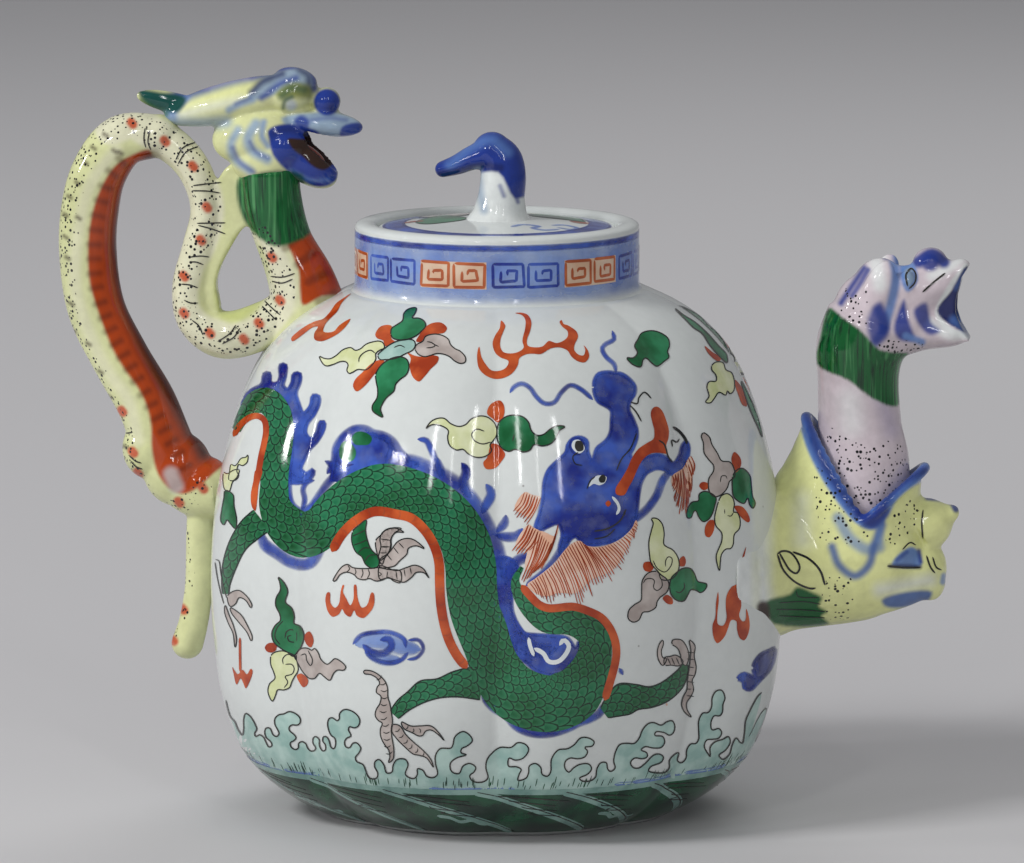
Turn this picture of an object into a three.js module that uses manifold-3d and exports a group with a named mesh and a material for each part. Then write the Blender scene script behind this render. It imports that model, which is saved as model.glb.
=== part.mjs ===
// A porcelain teapot. Its lobed body carries a collar with a lid, a spout of two beasts, one of
// which holds the other's neck in its jaws, and a handle that is one coiled serpent.
// Millimetres, +Z up, +X towards the spout. The origin is on the pot's axis, on the ground.
// Spout and handle lie in the XZ plane. Every piece was formed by itself and joined with slip.
import * as THREE from "three";
import { mergeVertices } from "three/addons/utils/BufferGeometryUtils.js";
import Module from "manifold-3d";

const wasm = await Module();
wasm.setup();
const { degToRad } = THREE.MathUtils;

// Fits: the gap between pieces that touch, and how far a cutting shape runs past what it cuts
const CLEARANCE = 0.3;
const OVERRUN = 2;

// Body: the radius is taken over a lobe's crest, and LOBE_TURN is how far the lobes are turned
// from the plane of the spout. The shoulder is a ring of its own, joined to the wall at the seam,
// a share of the body's height
const BODY_RADIUS = 70.2;
const BODY_HEIGHT = 125;
const BODY_SEAM_share = 0.688;
const BODY_WALL = 3.2;
const FLOOR_THICKNESS = 4;
const LOBES = 8;
const LOBE_DEPTH = 3.2;
const LOBE_TURN = degToRad(6);

// Collar: inside its rim is the well that holds the lid, which sits on a ledge round the mouth. A
// fillet of slip runs round the collar's foot
const COLLAR_RADIUS = 33.9;
const COLLAR_HEIGHT = 16.5;
const COLLAR_FILLET = 2.6;
const COLLAR_WALL = 5;
const LEDGE_WIDTH = 3.9;

// Lid
const LID_CLEARANCE = 0.5;
const LID_THICKNESS = 3;
const LID_DOME = 2;
const LID_SINK = 1.4;
const FLANGE_CLEARANCE = 0.8;
const FLANGE_WALL = 2.6;
const FLANGE_DEPTH = 7;
const KNOB_HEIGHT = 19;
const KNOB_RADIUS = 5.8;

// Spout: how far it stands out past the body, and its pieces' sizes
const SPOUT_REACH = 45;
const ROOT_RADIUS = 17.2;
const SPOUT_NECK_RADIUS = 9.7;
const SPOUT_HEAD_LENGTH = 32;
const CHANNEL_RADIUS = 6.2;
const STRAINER_HOLE = 2;
const STRAINER_PITCH = 6;

// Handle: how far the grip's middle line stands out past the body, and its pieces' sizes
const HANDLE_REACH = 35;
const GRIP_RADIUS = 7;
const LOOP_RADIUS = 4.4;
const HANDLE_NECK_RADIUS = 7.2;
const TAIL_RADIUS = 3.4;
const WEB_THICKNESS = 5;
const HANDLE_HEAD_LENGTH = 48;

// How finely round shapes are divided
const LOBE_FACETS = 8;
const BODY_RINGS = 16;
const ROUND_FACETS = 40;
const STRAND_FACETS = 12;
const LUMP_FACETS = 12;
const LUMP_RINGS = 8;
const CAP_RINGS = 2;
const RINGS_PER_SPAN = 2;

// Solids from closed meshes

function solid(geometry) {
  const bare = geometry.clone();
  bare.deleteAttribute("normal");
  bare.deleteAttribute("uv");
  const merged = mergeVertices(bare);
  return new wasm.Manifold(
    new wasm.Mesh({
      numProp: 3,
      vertProperties: merged.attributes.position.array,
      triVerts: new Uint32Array(merged.index.array),
    }),
  );
}

function geometryOf(shape) {
  const { numProp, vertProperties, triVerts } = shape.getMesh();
  const geometry = new THREE.BufferGeometry();
  geometry.setAttribute("position", new THREE.BufferAttribute(vertProperties, numProp));
  geometry.setIndex(new THREE.BufferAttribute(triVerts, 1));
  geometry.computeVertexNormals();
  return geometry;
}

// What is left of a shape after its neighbours are taken out, without the slivers
function cut(shape, ...neighbours) {
  const left = neighbours.reduce((rest, neighbour) => rest.subtract(neighbour), shape);
  return left.decompose().reduce((big, piece) => (piece.volume() > big.volume() ? piece : big));
}

function join(shapes) {
  return shapes.reduce((all, shape) => all.add(shape));
}

// A turned solid: the profile is a list of [radius, height], bottom first
function turned(profile, facets) {
  const lathe = new THREE.LatheGeometry(
    profile.map(([radius, height]) => new THREE.Vector2(radius, height)),
    facets,
  );
  return lathe.rotateX(Math.PI / 2);
}

function rod(radius, low, high, facets = ROUND_FACETS) {
  return solid(turned([[0, low], [radius, low], [radius, high], [0, high]], facets));
}

// A strand of clay along a curve in the XZ plane. Each row gives a point [x, z] and the strand's
// radius there, in the plane and across it. A round end is capped by half an ellipsoid.
function strand(rows, { grow = 0, roundStart = false, roundEnd = false } = {}) {
  const path = new THREE.CatmullRomCurve3(
    rows.map(([x, z]) => new THREE.Vector3(x, 0, z)),
    false,
    "centripetal",
  );
  const radii = new THREE.CatmullRomCurve3(
    rows.map(([, , inPlane, across]) => new THREE.Vector3(inPlane + grow, across + grow, 0)),
  );
  const across = new THREE.Vector3(0, 1, 0);
  const ringAt = (t, along = 0, share = 1) => {
    const tangent = path.getTangent(t);
    const radius = radii.getPoint(t);
    return {
      centre: path.getPoint(t).addScaledVector(tangent, along * radius.x),
      inPlane: new THREE.Vector3().crossVectors(tangent, across).multiplyScalar(radius.x * share),
      across: across.clone().multiplyScalar(radius.y * share),
    };
  };
  const capAngles = Array.from({ length: CAP_RINGS }, (_, i) => ((i + 0.4) / CAP_RINGS) * (Math.PI / 2));
  const steps = (rows.length - 1) * RINGS_PER_SPAN;
  const rings = [
    ...(roundStart ? capAngles.map((a) => ringAt(0, -Math.cos(a), Math.sin(a))) : []),
    ...Array.from({ length: steps + 1 }, (_, i) => ringAt(i / steps)),
    ...(roundEnd ? capAngles.toReversed().map((a) => ringAt(1, Math.cos(a), Math.sin(a))) : []),
  ];
  const tube = new THREE.CylinderGeometry(1, 1, 1, STRAND_FACETS, rings.length - 1);
  const place = tube.attributes.position;
  for (let i = 0; i < place.count; i++) {
    const ring = rings[Math.round((1 / 2 - place.getY(i)) * (rings.length - 1))];
    const point = ring.centre
      .clone()
      .addScaledVector(ring.across, place.getX(i))
      .addScaledVector(ring.inPlane, place.getZ(i));
    place.setXYZ(i, point.x, point.y, point.z);
  }
  return solid(tube);
}

// Lumps of clay worked into each other. Each is an ellipsoid, and its place from the head's
// origin and its radii are shares of the head's length. The pitch lifts its front, in degrees.
function sculpt(lumps, length, [x, z], grow = 0) {
  return join(
    lumps.map(({ at_shares: at, radius_shares: radii, pitch = 0 }) => {
      const ball = new THREE.SphereGeometry(1, LUMP_FACETS, LUMP_RINGS);
      ball.scale(...radii.map((radius) => radius * length + grow));
      ball.rotateY(-degToRad(pitch));
      ball.translate(x + at[0] * length, at[1] * length, z + at[2] * length);
      return solid(ball);
    }),
  );
}

// A plate of clay: a closed outline of [x, z] points, as thick as given, in the middle plane
function plate(outline, thickness) {
  const shape = new THREE.Shape(outline.map(([x, z]) => new THREE.Vector2(x, z)));
  const extruded = new THREE.ExtrudeGeometry(shape, { depth: thickness, bevelEnabled: false });
  return solid(extruded.translate(0, 0, -thickness / 2).rotateX(Math.PI / 2));
}

function smoothOutline(points, divisions) {
  const curve = new THREE.CatmullRomCurve3(
    points.map(([x, z]) => new THREE.Vector3(x, 0, z)),
    true,
  );
  return curve.getPoints(divisions).slice(1).map(({ x, z }) => [x, z]);
}

// Body

// The profile over a lobe's crest: [share of BODY_RADIUS, share of BODY_HEIGHT]
const BODY_PROFILE_shares = [
  [0.6, 0],
  [0.732, 0.04],
  [0.84, 0.09],
  [0.905, 0.14],
  [0.967, 0.24],
  [0.99, 0.34],
  [1, 0.44],
  [0.994, 0.54],
  [0.972, 0.64],
  [0.932, 0.73],
  [0.88, 0.81],
  [0.8, 0.888],
  [0.715, 0.938],
  [0.625, 0.972],
];
// How deep the grooves are at the foot and at the collar, of their full depth
const FOOT_GROOVE_share = 0.75;
const COLLAR_GROOVE_share = 0.3;
const GROOVE_SHARPNESS = 1.7;

function bodyProfile(offset, rings) {
  const curve = new THREE.SplineCurve([
    ...BODY_PROFILE_shares.map(([r, h]) => new THREE.Vector2(r * BODY_RADIUS, h * BODY_HEIGHT)),
    new THREE.Vector2(COLLAR_RADIUS + COLLAR_FILLET, BODY_HEIGHT),
  ]);
  return Array.from({ length: rings + 1 }, (_, i) => {
    const point = curve.getPointAt(i / rings);
    const along = curve.getTangentAt(i / rings);
    return [point.x + along.y * offset, point.y - along.x * offset];
  });
}

// The radius at which a profile passes a height
function radiusAt(profile, height) {
  const above = profile.findIndex(([, h]) => h >= height);
  if (above < 1) return above ? profile.at(-1)[0] : profile[0][0];
  const [[r0, h0], [r1, h1]] = [profile[above - 1], profile[above]];
  return THREE.MathUtils.lerp(r0, r1, (height - h0) / (h1 - h0));
}

// Pulls a turned shape in between the lobes
function lobed(geometry) {
  const place = geometry.attributes.position;
  for (let i = 0; i < place.count; i++) {
    const point = new THREE.Vector3().fromBufferAttribute(place, i);
    const turns = ((Math.atan2(point.y, point.x) - LOBE_TURN) / (2 * Math.PI)) * LOBES;
    const fromCrest = Math.abs(2 * (turns - Math.floor(turns)) - 1);
    const height = THREE.MathUtils.clamp(point.z / BODY_HEIGHT, 0, 1);
    const fade =
      THREE.MathUtils.lerp(FOOT_GROOVE_share, 1, THREE.MathUtils.smoothstep(height, 0, 1 / 4)) *
      THREE.MathUtils.lerp(1, COLLAR_GROOVE_share, THREE.MathUtils.smoothstep(height, 3 / 4, 1));
    const pull = 1 - (LOBE_DEPTH / BODY_RADIUS) * fade * fromCrest ** GROOVE_SHARPNESS;
    place.setXYZ(i, point.x * pull, point.y * pull, point.z);
  }
  return geometry;
}

// A lobed solid, its surface moved out by offset; it goes from the level low up to the level high
function lobedSolid(offset, low, high, facets, rings) {
  const profile = bodyProfile(offset, rings);
  const wall = profile.filter(([, height]) => height > low && height < high);
  const foot = [radiusAt(profile, low), low];
  const crown = [radiusAt(profile, high), high];
  return solid(lobed(turned([[0, low], foot, ...wall, crown, [0, high]], facets * LOBES)));
}

const bodyOutside = (grow = 0) =>
  lobedSolid(grow, -grow, BODY_HEIGHT + grow / 2, LOBE_FACETS, BODY_RINGS);
const bodyInside = lobedSolid(
  -BODY_WALL,
  FLOOR_THICKNESS,
  BODY_HEIGHT - BODY_WALL,
  LOBE_FACETS / 2,
  BODY_RINGS,
);
const bodyBlank = lobedSolid(0, 0, BODY_HEIGHT, LOBE_FACETS, BODY_RINGS);
const bodyKeepOut = bodyOutside(CLEARANCE);

// Places on the spout and the handle: how far out past the body, as a share of the reach, and how
// high, as a share of the body's height. Radii are shares of the strand's own radius.
const spoutPlace = ([out, up]) => [BODY_RADIUS + out * SPOUT_REACH, up * BODY_HEIGHT];
const handlePlace = ([out, up]) => [-BODY_RADIUS - out * HANDLE_REACH, up * BODY_HEIGHT];
const rowsOn = (placed, radius, shares) =>
  shares.map(([out, up, inPlane, across]) => [
    ...placed([out, up]),
    inPlane * radius,
    across * radius,
  ]);

// Spout

const TRUNK_shares = [
  [-0.3, 0.494, 1, 0.88],
  [0, 0.494, 1, 0.88],
  [0.22, 0.492, 0.95, 0.86],
  [0.43, 0.492, 0.87, 0.8],
  [0.57, 0.486, 0.74, 0.7],
  [0.66, 0.475, 0.47, 0.5],
];
const MUZZLE_shares = [
  [0.37, 0.456, 0.84, 0.8],
  [0.39, 0.6, 0.86, 0.78],
  [0.402, 0.78, 0.84, 0.76],
];
// The lips, seen from the side: back corner, lowest point, front corner
const LIPS_shares = [
  [0.086, 0.762],
  [0.405, 0.574],
  [0.72, 0.668],
];
const NECK_shares = [
  [0.391, 0.545, 1.1, 1.05],
  [0.388, 0.67, 1.16, 1.1],
  [0.372, 0.75, 1.03, 1],
  [0.363, 0.83, 1, 1],
  [0.372, 0.895, 1.1, 1.04],
  [0.43, 0.95, 1.12, 1.05],
];
// The way of the tea, from behind the strainer up through the neck, as shares of the channel
const CHANNEL_shares = [
  [-0.3, 0.494, 1.9, 1.9],
  [-0.04, 0.494, 1.8, 1.8],
  [0.22, 0.5, 1.4, 1.5],
  [0.37, 0.56, 1.1, 1.1],
  [0.388, 0.67, 1, 1],
  [0.372, 0.78, 1, 1],
  [0.38, 0.88, 1, 1],
  [0.42, 0.94, 0.95, 1],
];
// The upper head: places from its middle and radii, all as shares of its length
const THROAT_shares = [
  [-0.084, -0.336, 0.19, 0.19],
  [0.084, -0.0625, 0.174, 0.194],
  [0.366, 0.008, 0.139, 0.155],
  [0.591, 0.074, 0.174, 0.165],
];
const MOUTH_shares = [
  [0.478, -0.023],
  [0.816, 0.523],
  [0.816, -0.164],
];
const UPPER_JAW_shares = [
  [0.084, 0.074, 0.273, 0.2425],
  [0.366, 0.172, 0.2, 0.2],
  [0.5625, 0.273, 0.127, 0.17],
  [0.647, 0.32, 0.091, 0.133],
];
const LOWER_JAW_shares = [
  [0.084, -0.121, 0.258, 0.2425],
  [0.366, -0.121, 0.17, 0.2],
  [0.591, -0.148, 0.103, 0.17],
  [0.682, -0.133, 0.082, 0.133],
];
const SPOUT_NOSE_shares = [
  [0.7, 0.555, 0.42, 0.42],
  [0.8, 0.572, 0.3, 0.32],
  [0.86, 0.582, 0.12, 0.16],
];
const SPOUT_BROW = [{ at_shares: [0, 0, 0], radius_shares: [0.242, 0.372, 0.353], pitch: 10 }];
const SPOUT_BROW_PLACE_shares = [0.74, 0.46];
const SPOUT_HEAD = [
  { at_shares: [0, 0, 0], radius_shares: [0.3, 0.28, 0.31] },
  { at_shares: [0.03, 0, 0.16], radius_shares: [0.2, 0.22, 0.25], pitch: -15 },
  { at_shares: [0.22, 0, -0.06], radius_shares: [0.27, 0.24, 0.22] },
];
const SPOUT_HEAD_PLACE_shares = [0.44, 0.966];
const SPOUT_NOSTRIL = [{ at_shares: [0.43, 0, 0.37], radius_shares: [0.16, 0.17, 0.11], pitch: 12 }];
const spoutHorn = (side) => [
  { at_shares: [0.02, side * 0.22, 0.2], radius_shares: [0.08, 0.07, 0.24], pitch: -22 },
];

const spoutStrand = (shares, radius, options) =>
  strand(rowsOn(spoutPlace, radius, shares), options);
const spoutHeadPlace = spoutPlace(SPOUT_HEAD_PLACE_shares);
const headPlace = ([x, z]) => [
  spoutHeadPlace[0] + x * SPOUT_HEAD_LENGTH,
  spoutHeadPlace[1] + z * SPOUT_HEAD_LENGTH,
];
const headStrand = (shares, options) =>
  strand(rowsOn(headPlace, SPOUT_HEAD_LENGTH, shares), options);
const channel = spoutStrand(CHANNEL_shares, CHANNEL_RADIUS).add(headStrand(THROAT_shares));

// The space above the lips, right through the muzzle
function aboveLips() {
  const [back, low, front] = LIPS_shares.map(spoutPlace);
  const past = front[0] + OVERRUN;
  const before = back[0] - OVERRUN;
  const top = BODY_HEIGHT;
  return plate(
    [back, low, front, [past, front[1]], [past, top], [before, top], [before, back[1]]],
    4 * ROOT_RADIUS,
  );
}

function spoutRootForm(grow = 0) {
  const trunk = spoutStrand(TRUNK_shares, ROOT_RADIUS, { grow, roundEnd: true });
  const muzzle = spoutStrand(MUZZLE_shares, ROOT_RADIUS, { grow });
  return trunk.add(muzzle).subtract(aboveLips());
}

const spoutNeckForm = (grow = 0) => spoutStrand(NECK_shares, SPOUT_NECK_RADIUS, { grow });

function spoutHeadForm(grow = 0) {
  const jaws = [UPPER_JAW_shares, LOWER_JAW_shares].map((shares) =>
    headStrand(shares, { grow, roundEnd: true }),
  );
  return join([sculpt(SPOUT_HEAD, SPOUT_HEAD_LENGTH, spoutHeadPlace, grow), ...jaws]);
}

// The gap between the jaws, seen from the side: corner, then the upper and the lower lip
const jawGap = plate(MOUTH_shares.map(headPlace), 2 * SPOUT_HEAD_LENGTH);

const spoutPieces = {
  spout_root: cut(spoutRootForm(), bodyKeepOut, spoutNeckForm(CLEARANCE), channel),
  spout_nose: cut(
    spoutStrand(SPOUT_NOSE_shares, ROOT_RADIUS, { roundEnd: true }),
    spoutRootForm(CLEARANCE),
  ),
  spout_brow: cut(
    sculpt(SPOUT_BROW, ROOT_RADIUS, spoutPlace(SPOUT_BROW_PLACE_shares)),
    spoutRootForm(CLEARANCE),
    spoutStrand(SPOUT_NOSE_shares, ROOT_RADIUS, { grow: CLEARANCE, roundEnd: true }),
  ),
  spout_neck: cut(spoutNeckForm(), channel),
  spout_head: cut(spoutHeadForm(), spoutNeckForm(CLEARANCE), channel, jawGap),
  spout_nostril: cut(
    sculpt(SPOUT_NOSTRIL, SPOUT_HEAD_LENGTH, spoutHeadPlace),
    spoutHeadForm(CLEARANCE),
  ),
};
for (const [side, name] of [[1, "spout_horn_left"], [-1, "spout_horn_right"]]) {
  spoutPieces[name] = cut(
    sculpt(spoutHorn(side), SPOUT_HEAD_LENGTH, spoutHeadPlace),
    spoutHeadForm(CLEARANCE),
    spoutNeckForm(CLEARANCE),
  );
}

// The strainer is pierced in the body's wall: one hole in the middle and a ring of six round it
function strainerHoles() {
  const [, height] = spoutPlace(TRUNK_shares[0]);
  const drill = rod(STRAINER_HOLE, BODY_RADIUS / 2, BODY_RADIUS + OVERRUN, STRAND_FACETS)
    .rotate([0, 90, 0])
    .translate([0, 0, height]);
  const ring = Array.from({ length: 6 }, (_, i) => (i / 6) * 2 * Math.PI);
  return join([
    drill,
    ...ring.map((a) => drill.translate([0, STRAINER_PITCH * Math.cos(a), STRAINER_PITCH * Math.sin(a)])),
  ]);
}

const lidWellRadius = COLLAR_RADIUS - COLLAR_WALL;
const mouthRadius = lidWellRadius - LEDGE_WIDTH;
const mouth = rod(mouthRadius, BODY_HEIGHT / 2, BODY_HEIGHT + OVERRUN);
const bodyWall = cut(bodyBlank, bodyInside, mouth, strainerHoles());
const seam = BODY_SEAM_share * BODY_HEIGHT;
const bodyShell = bodyWall.trimByPlane([0, 0, -1], CLEARANCE / 2 - seam);
const bodyShoulder = bodyWall.trimByPlane([0, 0, 1], seam + CLEARANCE / 2);

// Collar and lid

const collarLow = BODY_HEIGHT + CLEARANCE;
const collarTop = BODY_HEIGHT + COLLAR_HEIGHT;
const ledge = collarTop - LID_SINK - LID_THICKNESS;

function neckCollar() {
  const crest = COLLAR_WALL / 2;
  const angles = Array.from({ length: 7 }, (_, i) => (i / 6) * Math.PI);
  const rim = angles.map((a) => [
    COLLAR_RADIUS - crest + crest * Math.cos(a),
    collarTop - crest / 2 + (crest / 2) * Math.sin(a),
  ]);
  const fillet = Array.from({ length: 4 }, (_, i) => (i / 3) * (Math.PI / 2)).map((a) => [
    COLLAR_RADIUS + COLLAR_FILLET * (1 - Math.sin(a)),
    collarLow + COLLAR_FILLET * (1 - Math.cos(a)),
  ]);
  const profile = [
    [mouthRadius, collarLow],
    ...fillet,
    ...rim,
    [lidWellRadius, ledge],
    [mouthRadius, ledge],
    [mouthRadius, collarLow],
  ];
  return solid(turned(profile, ROUND_FACETS));
}

const lidRadius = lidWellRadius - LID_CLEARANCE;
const lidLow = ledge + CLEARANCE;

function lidPlate(grow = 0) {
  const edge = LID_THICKNESS / 4;
  const lidTop = ledge + LID_THICKNESS;
  const dome = Array.from({ length: 5 }, (_, i) => 1 - i / 4).map((share) => [
    share * (lidRadius - edge),
    lidTop + LID_DOME * (1 - share ** 2) + grow,
  ]);
  return solid(
    turned(
      [
        [0, lidLow - grow],
        [lidRadius - edge, lidLow - grow],
        [lidRadius + grow, lidLow + edge],
        [lidRadius + grow, lidTop - edge],
        ...dome,
      ],
      ROUND_FACETS,
    ),
  );
}

function lidFlange() {
  const outer = mouthRadius - FLANGE_CLEARANCE;
  const inner = outer - FLANGE_WALL;
  const high = lidLow - CLEARANCE;
  const low = high - FLANGE_DEPTH;
  const profile = [
    [inner, low],
    [outer - FLANGE_WALL / 4, low],
    [outer, low + FLANGE_WALL / 4],
    [outer, high],
    [inner, high],
    [inner, low],
  ];
  return solid(turned(profile, ROUND_FACETS));
}

// The knob is a bird's neck and head: [x, z] from the lid's middle as shares of KNOB_HEIGHT, and
// the radii as shares of KNOB_RADIUS
const KNOB_NECK_shares = [
  [0.03, -0.05, 1.42, 1.42],
  [0.04, 0.08, 1.12, 1.12],
  [0.06, 0.3, 0.96, 0.96],
  [0.08, 0.52, 0.94, 0.9],
  [0.05, 0.72, 0.9, 0.86],
  [-0.06, 0.84, 0.82, 0.8],
];
const BEAK_shares = [
  [-0.1, 0.81, 0.74, 0.76],
  [-0.3, 0.76, 0.52, 0.66],
  [-0.5, 0.67, 0.42, 0.58],
  [-0.68, 0.61, 0.34, 0.46],
];
function lidKnob() {
  const seat = ledge + LID_THICKNESS + LID_DOME;
  const place = ([x, z]) => [x * KNOB_HEIGHT, seat + z * KNOB_HEIGHT];
  const neck = strand(rowsOn(place, KNOB_RADIUS, KNOB_NECK_shares), { roundEnd: true });
  const beak = strand(rowsOn(place, KNOB_RADIUS, BEAK_shares), { roundEnd: true });
  return cut(neck.add(beak), lidPlate(CLEARANCE));
}

// Handle

const HANDLE_NECK_shares = [
  [-0.75, 0.89, 1.5, 1.15],
  [-0.67, 1.003, 1.15, 1.05],
  [-0.537, 1.092, 0.94, 0.95],
  [-0.466, 1.16, 0.99, 0.97],
  [-0.44, 1.225, 1, 1],
];
const LOOP_shares = [
  [-0.65, 0.965, 1.3, 1.15],
  [-0.42, 0.927, 1.3, 1.2],
  [-0.13, 0.905, 1.32, 1.2],
  [0.055, 0.934, 1.14, 1.12],
  [0.108, 0.995, 0.98, 1.05],
  [0.05, 1.07, 0.9, 1],
  [-0.005, 1.148, 0.85, 0.95],
  [0.068, 1.22, 0.92, 1],
  [0.22, 1.268, 1, 1.05],
  [0.4, 1.292, 1.1, 1.1],
];
const ARC_shares = [
  [0.32, 1.288, 0.74, 0.8],
  [0.57, 1.276, 0.92, 0.85],
  [0.73, 1.216, 0.96, 0.86],
  [0.8, 1.135, 1, 0.88],
  [0.81, 1.056, 1, 0.88],
  [0.754, 0.952, 1, 0.88],
  [0.59, 0.858, 1, 0.9],
  [0.41, 0.77, 1.03, 0.95],
  [0.31, 0.7, 1.05, 1],
  [0.2, 0.635, 1, 1],
  [0.04, 0.6, 0.92, 1],
  [-0.4, 0.61, 0.9, 1],
];
// The arc swells where it turns in to the body
const ARC_HEEL = [{ at_shares: [0, 0, 0], radius_shares: [1.4, 1.2, 1.5] }];
const ARC_HEEL_PLACE_shares = [0.19, 0.64];
const TAIL_shares = [
  [0.03, 0.6, 1, 1.05],
  [0.045, 0.512, 1, 1.1],
  [0.055, 0.416, 1, 1.1],
  [0.095, 0.344, 1.06, 1.15],
  [0.135, 0.306, 1.15, 1.2],
];
// The web's edge runs along the middle of the strand and of the neck, and round a hole
const WEB_EDGE_shares = [
  [-0.2, 1.24],
  [0, 1.15],
  [0.09, 1.05],
  [0.09, 0.97],
  [-0.02, 0.93],
  [-0.1, 0.95],
  [-0.08, 1.01],
  [-0.18, 1.075],
  [-0.3, 1.118],
  [-0.42, 1.09],
  [-0.46, 1.16],
  [-0.44, 1.23],
];
const HANDLE_HEAD_PLACE_shares = [-0.434, 1.264];
const HANDLE_HEAD = [
  { at_shares: [-0.042, 0, 0.065], radius_shares: [0.24, 0.156, 0.15], pitch: 8 },
  { at_shares: [-0.01, 0, -0.05], radius_shares: [0.18, 0.155, 0.14] },
  { at_shares: [0.08, 0, 0.02], radius_shares: [0.16, 0.155, 0.13] },
  { at_shares: [-0.15, 0, 0.24], radius_shares: [0.38, 0.12, 0.105], pitch: 13 },
  { at_shares: [0.11, 0, 0.28], radius_shares: [0.13, 0.12, 0.1], pitch: 10 },
  { at_shares: [0.27, 0, 0.135], radius_shares: [0.21, 0.115, 0.066], pitch: -7 },
];
const HANDLE_JAW = [
  { at_shares: [0.18, 0, -0.045], radius_shares: [0.2, 0.12, 0.11], pitch: -38 },
];
// The hollow of the mouth, which the jaw is scooped out by
const HANDLE_GAPE = [
  { at_shares: [0.265, 0, 0.025], radius_shares: [0.22, 0.088, 0.085], pitch: -34 },
];
const HANDLE_TONGUE = [
  { at_shares: [0.215, 0, 0.005], radius_shares: [0.13, 0.055, 0.03], pitch: -12 },
];
const HANDLE_NOSE = [{ at_shares: [0.294, 0, 0.242], radius_shares: [0.072, 0.072, 0.072] }];
const HANDLE_BROW = [{ at_shares: [0.14, 0, 0.345], radius_shares: [0.11, 0.1, 0.065], pitch: -12 }];
const HANDLE_CREST = [
  { at_shares: [-0.47, 0, 0.225], radius_shares: [0.2, 0.035, 0.055], pitch: -12 },
];

const handleStrand = (shares, radius, options) =>
  strand(rowsOn(handlePlace, radius, shares), options);
const handleHeadPlace = handlePlace(HANDLE_HEAD_PLACE_shares);
const handleSculpt = (lumps, grow = 0) =>
  sculpt(lumps, HANDLE_HEAD_LENGTH, handleHeadPlace, grow);

const handleNeckForm = (grow = 0) => handleStrand(HANDLE_NECK_shares, HANDLE_NECK_RADIUS, { grow });
const loopForm = (grow = 0) => handleStrand(LOOP_shares, LOOP_RADIUS, { grow, roundEnd: true });
const arcForm = (grow = 0) =>
  handleStrand(ARC_shares, GRIP_RADIUS, { grow, roundStart: true }).add(
    sculpt(ARC_HEEL, GRIP_RADIUS, handlePlace(ARC_HEEL_PLACE_shares), grow),
  );
const headForm = (grow = 0) => handleSculpt(HANDLE_HEAD, grow);
const jawForm = (grow = 0) => handleSculpt(HANDLE_JAW, grow).subtract(handleSculpt(HANDLE_GAPE, -grow));
const gape = handleSculpt(HANDLE_GAPE);

// Where the handle's foot comes close to the collar, the collar goes first
const collarKeepOut = rod(
  COLLAR_RADIUS + COLLAR_FILLET + CLEARANCE,
  BODY_HEIGHT - OVERRUN,
  collarTop + CLEARANCE,
);

const handlePieces = {
  handle_neck: cut(handleNeckForm(), bodyKeepOut, collarKeepOut),
  handle_loop: cut(loopForm(), bodyKeepOut, handleNeckForm(CLEARANCE), arcForm(CLEARANCE)),
  handle_head: cut(headForm(), handleNeckForm(CLEARANCE), loopForm(CLEARANCE), gape),
  handle_jaw: cut(jawForm(), headForm(CLEARANCE), handleNeckForm(CLEARANCE)),
  handle_tongue: cut(handleSculpt(HANDLE_TONGUE), headForm(CLEARANCE), jawForm(CLEARANCE)),
  handle_nose: cut(handleSculpt(HANDLE_NOSE), headForm(CLEARANCE)),
  handle_brow: cut(handleSculpt(HANDLE_BROW), headForm(CLEARANCE)),
  handle_arc: cut(arcForm(), bodyKeepOut, headForm(CLEARANCE)),
  handle_crest: cut(
    handleSculpt(HANDLE_CREST),
    headForm(CLEARANCE),
    arcForm(CLEARANCE),
    loopForm(CLEARANCE),
  ),
  handle_tail: cut(
    handleStrand(TAIL_shares, TAIL_RADIUS, { roundEnd: true }),
    bodyKeepOut,
    arcForm(CLEARANCE),
  ),
  handle_web: cut(
    plate(smoothOutline(WEB_EDGE_shares.map(handlePlace), 4 * WEB_EDGE_shares.length), WEB_THICKNESS),
    loopForm(CLEARANCE),
    handleNeckForm(CLEARANCE),
    headForm(CLEARANCE),
    bodyKeepOut,
  ),
};

// Finishes

const glaze = (color, roughness = 0.12) =>
  new THREE.MeshStandardMaterial({ color, roughness, metalness: 0 });
const WHITE = glaze(0xe3e8e6);
const BLUE = glaze(0x2f52b8);
const YELLOW = glaze(0xd9dc9a);
const PINK = glaze(0xd3c3c6);
const GREEN = glaze(0x14704a);
const RED = glaze(0x9c3215);
const FINISHES = {
  body_shell: WHITE,
  body_shoulder: WHITE,
  neck_collar: WHITE,
  lid_plate: WHITE,
  lid_flange: WHITE,
  lid_knob: BLUE,
  spout_root: YELLOW,
  spout_nose: YELLOW,
  spout_brow: YELLOW,
  spout_neck: PINK,
  spout_head: PINK,
  spout_nostril: BLUE,
  spout_horn_left: BLUE,
  spout_horn_right: BLUE,
  handle_jaw: BLUE,
  handle_tongue: RED,
  handle_nose: BLUE,
  handle_brow: BLUE,
  handle_crest: GREEN,
};

// Scene

function group(pieces) {
  const made = new THREE.Group();
  for (const [name, shape] of Object.entries(pieces)) {
    const mesh = new THREE.Mesh(geometryOf(shape), (FINISHES[name] ?? YELLOW).clone());
    mesh.name = name;
    made.add(mesh);
  }
  return made;
}

const pot = group({
  body_shell: bodyShell,
  body_shoulder: bodyShoulder,
  neck_collar: neckCollar(),
  ...spoutPieces,
  ...handlePieces,
});
const lid = group({ lid_plate: lidPlate(), lid_flange: lidFlange(), lid_knob: lidKnob() });

const teapot = new THREE.Group();
teapot.add(pot, lid);
export default teapot;
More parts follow.
